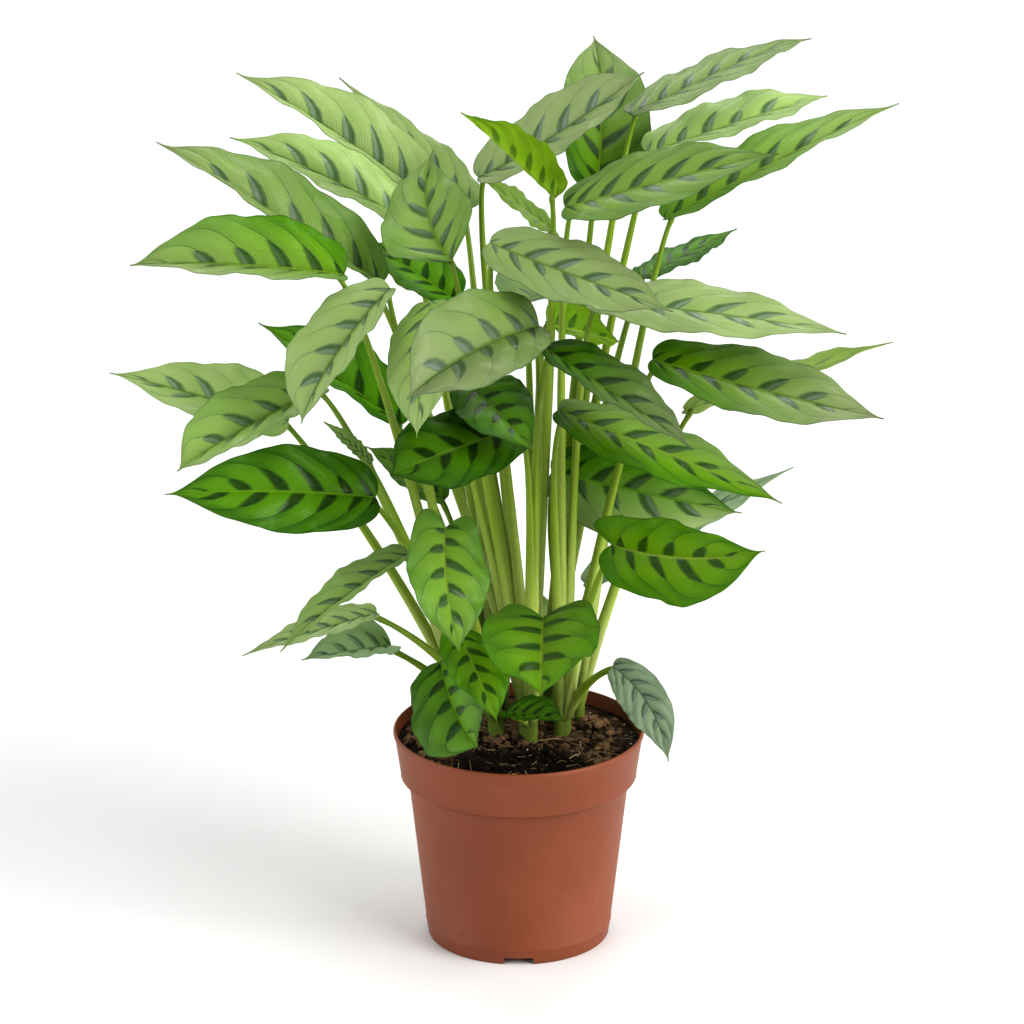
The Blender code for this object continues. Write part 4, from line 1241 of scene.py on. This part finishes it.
def blade_points(form, rows, columns):
    """Points of the upper and then the lower face, each row by row with its two ends last."""
    along, aside = rows[:, None], columns[None, :]
    normals = blade_normals(form, along, aside)
    off_rib = np.abs(aside) * form["width"] / 2 * half_outline(form, along)
    ridge = np.exp(-(off_rib / RIB_WIDTH) ** 2) * np.clip(RIB_OUT - along, 0, 1)
    upper = blade_surface(form, along, aside) - normals * (RIB_SINK * ridge)[..., None]
    thick = EDGE_THICK + (BLADE_THICK - EDGE_THICK) * (1 - np.abs(aside)) * THICKENING
    lower = upper - normals * (thick + (RIB_THICK - BLADE_THICK) * ridge)[..., None]
    ends, low_ends = [], []
    for at in (0.0, 1.0):
        place, _, normal, _ = midrib(form, at)
        ends.append(place)
        low_ends.append(place - normal * EDGE_THICK)
    return np.concatenate([upper.reshape(-1, 3), ends, lower.reshape(-1, 3), low_ends])


def blade_faces(rows, columns):
    """Faces, the place along and aside of each of their corners, and which are underneath."""
    high, wide = len(rows), len(columns)
    grid = np.arange(high * wide).reshape(high, wide)
    start, end, level = high * wide, high * wide + 1, high * wide + 2
    faces, corners, below = [], [], []

    def add(face, places, under):
        faces.append(face)
        corners.extend(places)
        below.extend([under] * len(face))

    for layer, under in ((0, 0.0), (level, 1.0)):
        for i in range(high - 1):
            for j in range(wide - 1):
                spots = [(i, j), (i, j + 1), (i + 1, j + 1), (i + 1, j)]
                add([grid[spot] + layer for spot in spots],
                    [(rows[row], columns[column]) for row, column in spots], under)
        for j in range(wide - 1):
            middle = (columns[j] + columns[j + 1]) / 2
            add([start + layer, grid[0, j + 1] + layer, grid[0, j] + layer],
                [(0.0, middle), (rows[0], columns[j + 1]), (rows[0], columns[j])], under)
            add([end + layer, grid[-1, j] + layer, grid[-1, j + 1] + layer],
                [(1.0, middle), (rows[-1], columns[j]), (rows[-1], columns[j + 1])], under)
    rim = [start, *grid[:, 0], end, *grid[::-1, -1]]
    places = [(0.0, -1.0), *((row, -1.0) for row in rows), (1.0, 1.0),
              *((row, 1.0) for row in rows[::-1])]
    for k, (here, place) in enumerate(zip(rim, places)):
        there = (k + 1) % len(rim)
        add([here, rim[there], rim[there] + level, here + level],
            [place, places[there], places[there], place], 0.0)
    return faces, np.array(corners), below


def build_blade(form, material):
    """A thin blade with a raised midrib below, quilted between its side veins."""
    columns = np.array([-share for share in reversed(HALF_COLUMNS)] + [0.0] + list(HALF_COLUMNS))
    rows = 0.5 - 0.5 * np.cos(np.pi * np.arange(1, BLADE_STEPS) / BLADE_STEPS)
    points = blade_points(form, rows, columns)
    faces, corners, below = blade_faces(rows, columns)
    maps = blade_maps(form, corners, below)
    piece = new_piece("blade_" + form["name"], points, faces, material, maps)
    settle(piece, SLOTS[form["tone"]], "leaf_" + form["name"])


def blade_maps(form, corners, below):
    """The maps that a blade's finish reads, from the place of each corner of each face."""
    number = np.full(len(below), form["number"])
    return {
        "blade": np.column_stack([corners[:, 0], (corners[:, 1] + 1) / 2]),
        "leaf": np.column_stack([number, below]),
        "bars": (form["bars"], form["shift"]),
        # The leaf's painted sheen at stalk and tip, its tilt, and its painted light and shade
        "painted_sheen": form["pale"],
        "light": (form["tilt"], form["light"]),
    }


def seat_depth(form, way, normal, across):
    """How far under the blade's face the middle of a stalk's end lies when it comes along way.

    The blade folds up from its rib, so the end's sides have more room than its middle."""
    slope = math.tan(math.radians(form["fold"] + form["cup"] / 4))
    first = unit(normal - way * (way @ normal))
    second = np.cross(way, first)
    rise = 0.0
    for k in range(SEAT_SPOKES):
        turn = 2 * math.pi * k / SEAT_SPOKES
        arm = STALK_TOP * (first * math.cos(turn) + second * math.sin(turn))
        rise = max(rise, float(arm @ normal) - slope * abs(float(arm @ across)))
    return RIB_THICK - SEAT_SINK + rise


def stalk_route(form, start):
    """Centre points and radii of a stalk, from inside the soil to its seat under the blade, and
    the way out of the blade's face there."""
    place, tangent, normal, across = midrib(form, SEAT_ALONG)
    way = unit(place - start)
    arrive = unit(way + form["turn"] * tangent)
    seat = place - normal * seat_depth(form, arrive, normal, across)
    height = np.linalg.norm(seat - start)
    one = start + height * STALK_RISE * unit(way + form["bow"] * UP)
    two = seat - min(STALK_NECK, STALK_RISE * height) * arrive
    foot = np.array([start[0], start[1], STALK_BOTTOM])
    route = [(foot, STALK_LOW * STALK_IN_SOIL[0]),
             ((foot + start) / 2, STALK_LOW * STALK_IN_SOIL[1])]
    for share in np.linspace(0.0, 1.0, STALK_STEPS + 1):
        sheath = (1 - share ** STALK_THINNING[0]) ** STALK_THINNING[1]
        radius = STALK_TOP + (STALK_LOW - STALK_TOP) * sheath
        from_seat = (1 - share) * height
        swell = math.exp(-((from_seat - JOINT_LENGTH / 2) / (JOINT_LENGTH / 2)) ** 2)
        route.append((curve(share, start, one, two, seat), radius + JOINT_SWELL * swell))
    place, radius = route[-1]
    for angle in DOME_ANGLES:
        lean = math.radians(angle)
        route.append((place + arrive * radius * math.sin(lean) * DOME_HEIGHT,
                      radius * math.cos(lean)))
    return route, normal


def tube_mesh(route, towards, sides, groove=None):
    """Points and faces of a closed tube along a route of (point, radius).

    One of its long edges ends on the side that the direction towards points to. A groove gives
    the depth of a furrow along that side, as a share of the radius, for each point of the route."""
    places = [place for place, _ in route]
    ways = [unit(places[min(k + 1, len(places) - 1)] - places[max(k - 1, 0)])
            for k in range(len(places))]
    across = towards
    points = []
    rings = []
    for k in reversed(range(len(route))):
        place, radius = route[k]
        across = unit(across - ways[k] * (across @ ways[k]))
        aside = np.cross(ways[k], across)
        ring = []
        for side in range(sides):
            turn = 2 * math.pi * side / sides
            near = min(turn, 2 * math.pi - turn) / GROOVE_WIDTH
            reach = radius * (1 - (groove[k] if groove else 0.0) * math.exp(-near ** 2))
            ring.append(len(points))
            points.append(place + reach * (across * math.cos(turn) + aside * math.sin(turn)))
        rings.append(ring)
    faces = []
    for lower, upper in zip(rings, rings[1:]):
        faces += bridge(lower, upper)
    return points, faces + [tuple(rings[0]), tuple(rings[-1])]


def stalk_maps(form, faces, rings):
    """For each corner of each face, how far it is along and around, and its leaf and joint."""
    places, leaves = [], []
    for face in faces:
        sides = [k % STALK_SIDES for k in face]
        if len(face) == 4 and max(sides) - min(sides) > 1:
            sides = [STALK_SIDES if side == 0 else side for side in sides]
        for k, side in zip(face, sides):
            share = 1 - (k // STALK_SIDES) / (rings - 1)
            places.append((share, side / STALK_SIDES))
            joint = max(0.0, (share - (1 - JOINT_SHARE)) / JOINT_SHARE)
            leaves.append((form["number"], joint))
    return places, leaves


def build_shoot(shoot, material):
    """The stalks that rise from one foot, with their grooved sheaths and swollen joints."""
    foot = FEET[shoot]
    points, faces, places, leaves = [], [], [], []
    for form in LEAVES:
        if form["shoot"] != shoot:
            continue
        away = np.array(form["join"][:2]) - np.array(foot)
        away = STALK_SPREAD * away / np.linalg.norm(away)
        start = np.array([foot[0] + away[0], foot[1] + away[1], STALK_START])
        route, towards = stalk_route(form, start)
        groove = [GROOVE_DEPTH * (1 - share) ** GROOVE_FADE + GROOVE_LEAST * (share < GROOVE_END)
                  for share in np.linspace(0.0, 1.0, len(route))]
        tube_points, tube_faces = tube_mesh(route, towards, STALK_SIDES, groove)
        first = len(points)
        points += tube_points
        faces += [tuple(first + k for k in face) for face in tube_faces]
        tube_places, tube_leaves = stalk_maps(form, tube_faces, len(route))
        places += tube_places
        leaves += tube_leaves
    piece = new_piece("stalks_" + shoot, points, faces, material)
    add_map(piece.data, "stalk", places)
    add_map(piece.data, "leaf", leaves)
    settle(piece, "stalk_green", "shoot_" + shoot)


def studio_world():
    """White surroundings, brighter behind the plant and at its sides."""
    world = bpy.data.worlds.new("surround")
    world.use_nodes = True
    web = Web(world.node_tree)
    aside, behind = web.apart(web.coordinates("Generated"))
    strength = abs(aside).rise(*SIDE_GROWTH) * SIDE_STRENGTH + SURROUND_STRENGTH
    strength = strength + behind.rise(*BACKDROP_GROWTH) * BACKDROP_STRENGTH
    light = web.tree.nodes["Background"]
    light.inputs["Color"].default_value = (1.0, 1.0, 1.0, 1.0)
    web.feed(light.inputs["Strength"], strength)
    return world


def place_and_aim(thing, place, target):
    """Puts a lamp or a camera in its place and turns it to its target."""
    thing.location = place
    thing.rotation_euler = (Vector(target) - Vector(place)).to_track_quat("-Z", "Y").to_euler()
    bpy.context.scene.collection.objects.link(thing)


def build_floor():
    """A wide plain floor, which belongs to the stage."""
    bpy.ops.mesh.primitive_plane_add(size=FLOOR_SIZE, location=(0.0, 0.0, 0.0))
    floor = bpy.context.object
    floor.name = "floor"
    floor.data.materials.append(floor_finish())


def build_lamps():
    """The lamps, and the light of the surroundings."""
    for name, (size, place, target, power, colour) in LAMPS.items():
        light = bpy.data.lights.new(name, "AREA")
        light.shape = "RECTANGLE"
        light.size, light.size_y = size
        light.energy = power
        light.color = colour
        place_and_aim(bpy.data.objects.new(name, light), place, target)
    bpy.context.scene.world = studio_world()


def build_camera():
    """The camera at the photograph's angle, and a view that keeps the greens and the white."""
    lens = bpy.data.cameras.new("camera")
    lens.lens = CAMERA_LENS
    lens.sensor_width = CAMERA_SENSOR
    lens.clip_end = CAMERA_REACH
    camera = bpy.data.objects.new("camera", lens)
    place_and_aim(camera, CAMERA_PLACE, CAMERA_AIM)
    bpy.context.scene.camera = camera
    bpy.context.scene.view_settings.view_transform = "Standard"
    bpy.context.scene.view_settings.gamma = CONTRAST


def number_leaves(draw):
    """Gives each leaf its number, the phase of its waves and its bars."""
    for number, form in enumerate(LEAVES):
        slimness = math.dist(form["join"], form["tip"]) / form["width"] / USUAL_SLIMNESS
        form["phase"] = (PHASE_STEP * number) % 1.0
        form["number"] = (number + 0.5) / len(LEAVES)
        form["bars"] = BARS * slimness ** 0.5 / MAP_SCALE
        form["shift"] = draw.random()


def main():
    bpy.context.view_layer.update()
    build_floor()
    build_lamps()
    build_camera()
    draw = random.Random(DRAW_START)
    number_leaves(draw)
    build_pot(pot_finish())
    build_soil(soil_finish())
    build_lumps("soil_crumbs", CRUMBS, CRUMB_SIZE, CRUMB_LIFT, draw,
                bit_finish("peat_crumbs", *CRUMB_LOOK), HEAPED_CRUMBS)
    build_lumps("perlite", PERLITE, PERLITE_SIZE, PERLITE_LIFT, draw,
                bit_finish("perlite", *PERLITE_LOOK))
    build_fibres(draw, bit_finish("root_fibres", *FIBRE_LOOK))
    stalk = stalk_finish()
    for shoot in FEET:
        build_shoot(shoot, stalk)
    greens = {tone: leaf_finish(tone) for tone in TONES}
    for form in LEAVES:
        build_blade(form, greens[form["tone"]])


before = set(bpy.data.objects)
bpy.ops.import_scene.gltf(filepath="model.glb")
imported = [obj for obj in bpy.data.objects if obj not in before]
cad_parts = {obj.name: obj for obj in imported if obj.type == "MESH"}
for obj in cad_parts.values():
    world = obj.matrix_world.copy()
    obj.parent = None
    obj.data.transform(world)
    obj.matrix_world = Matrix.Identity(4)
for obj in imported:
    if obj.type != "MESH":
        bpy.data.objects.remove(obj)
main()
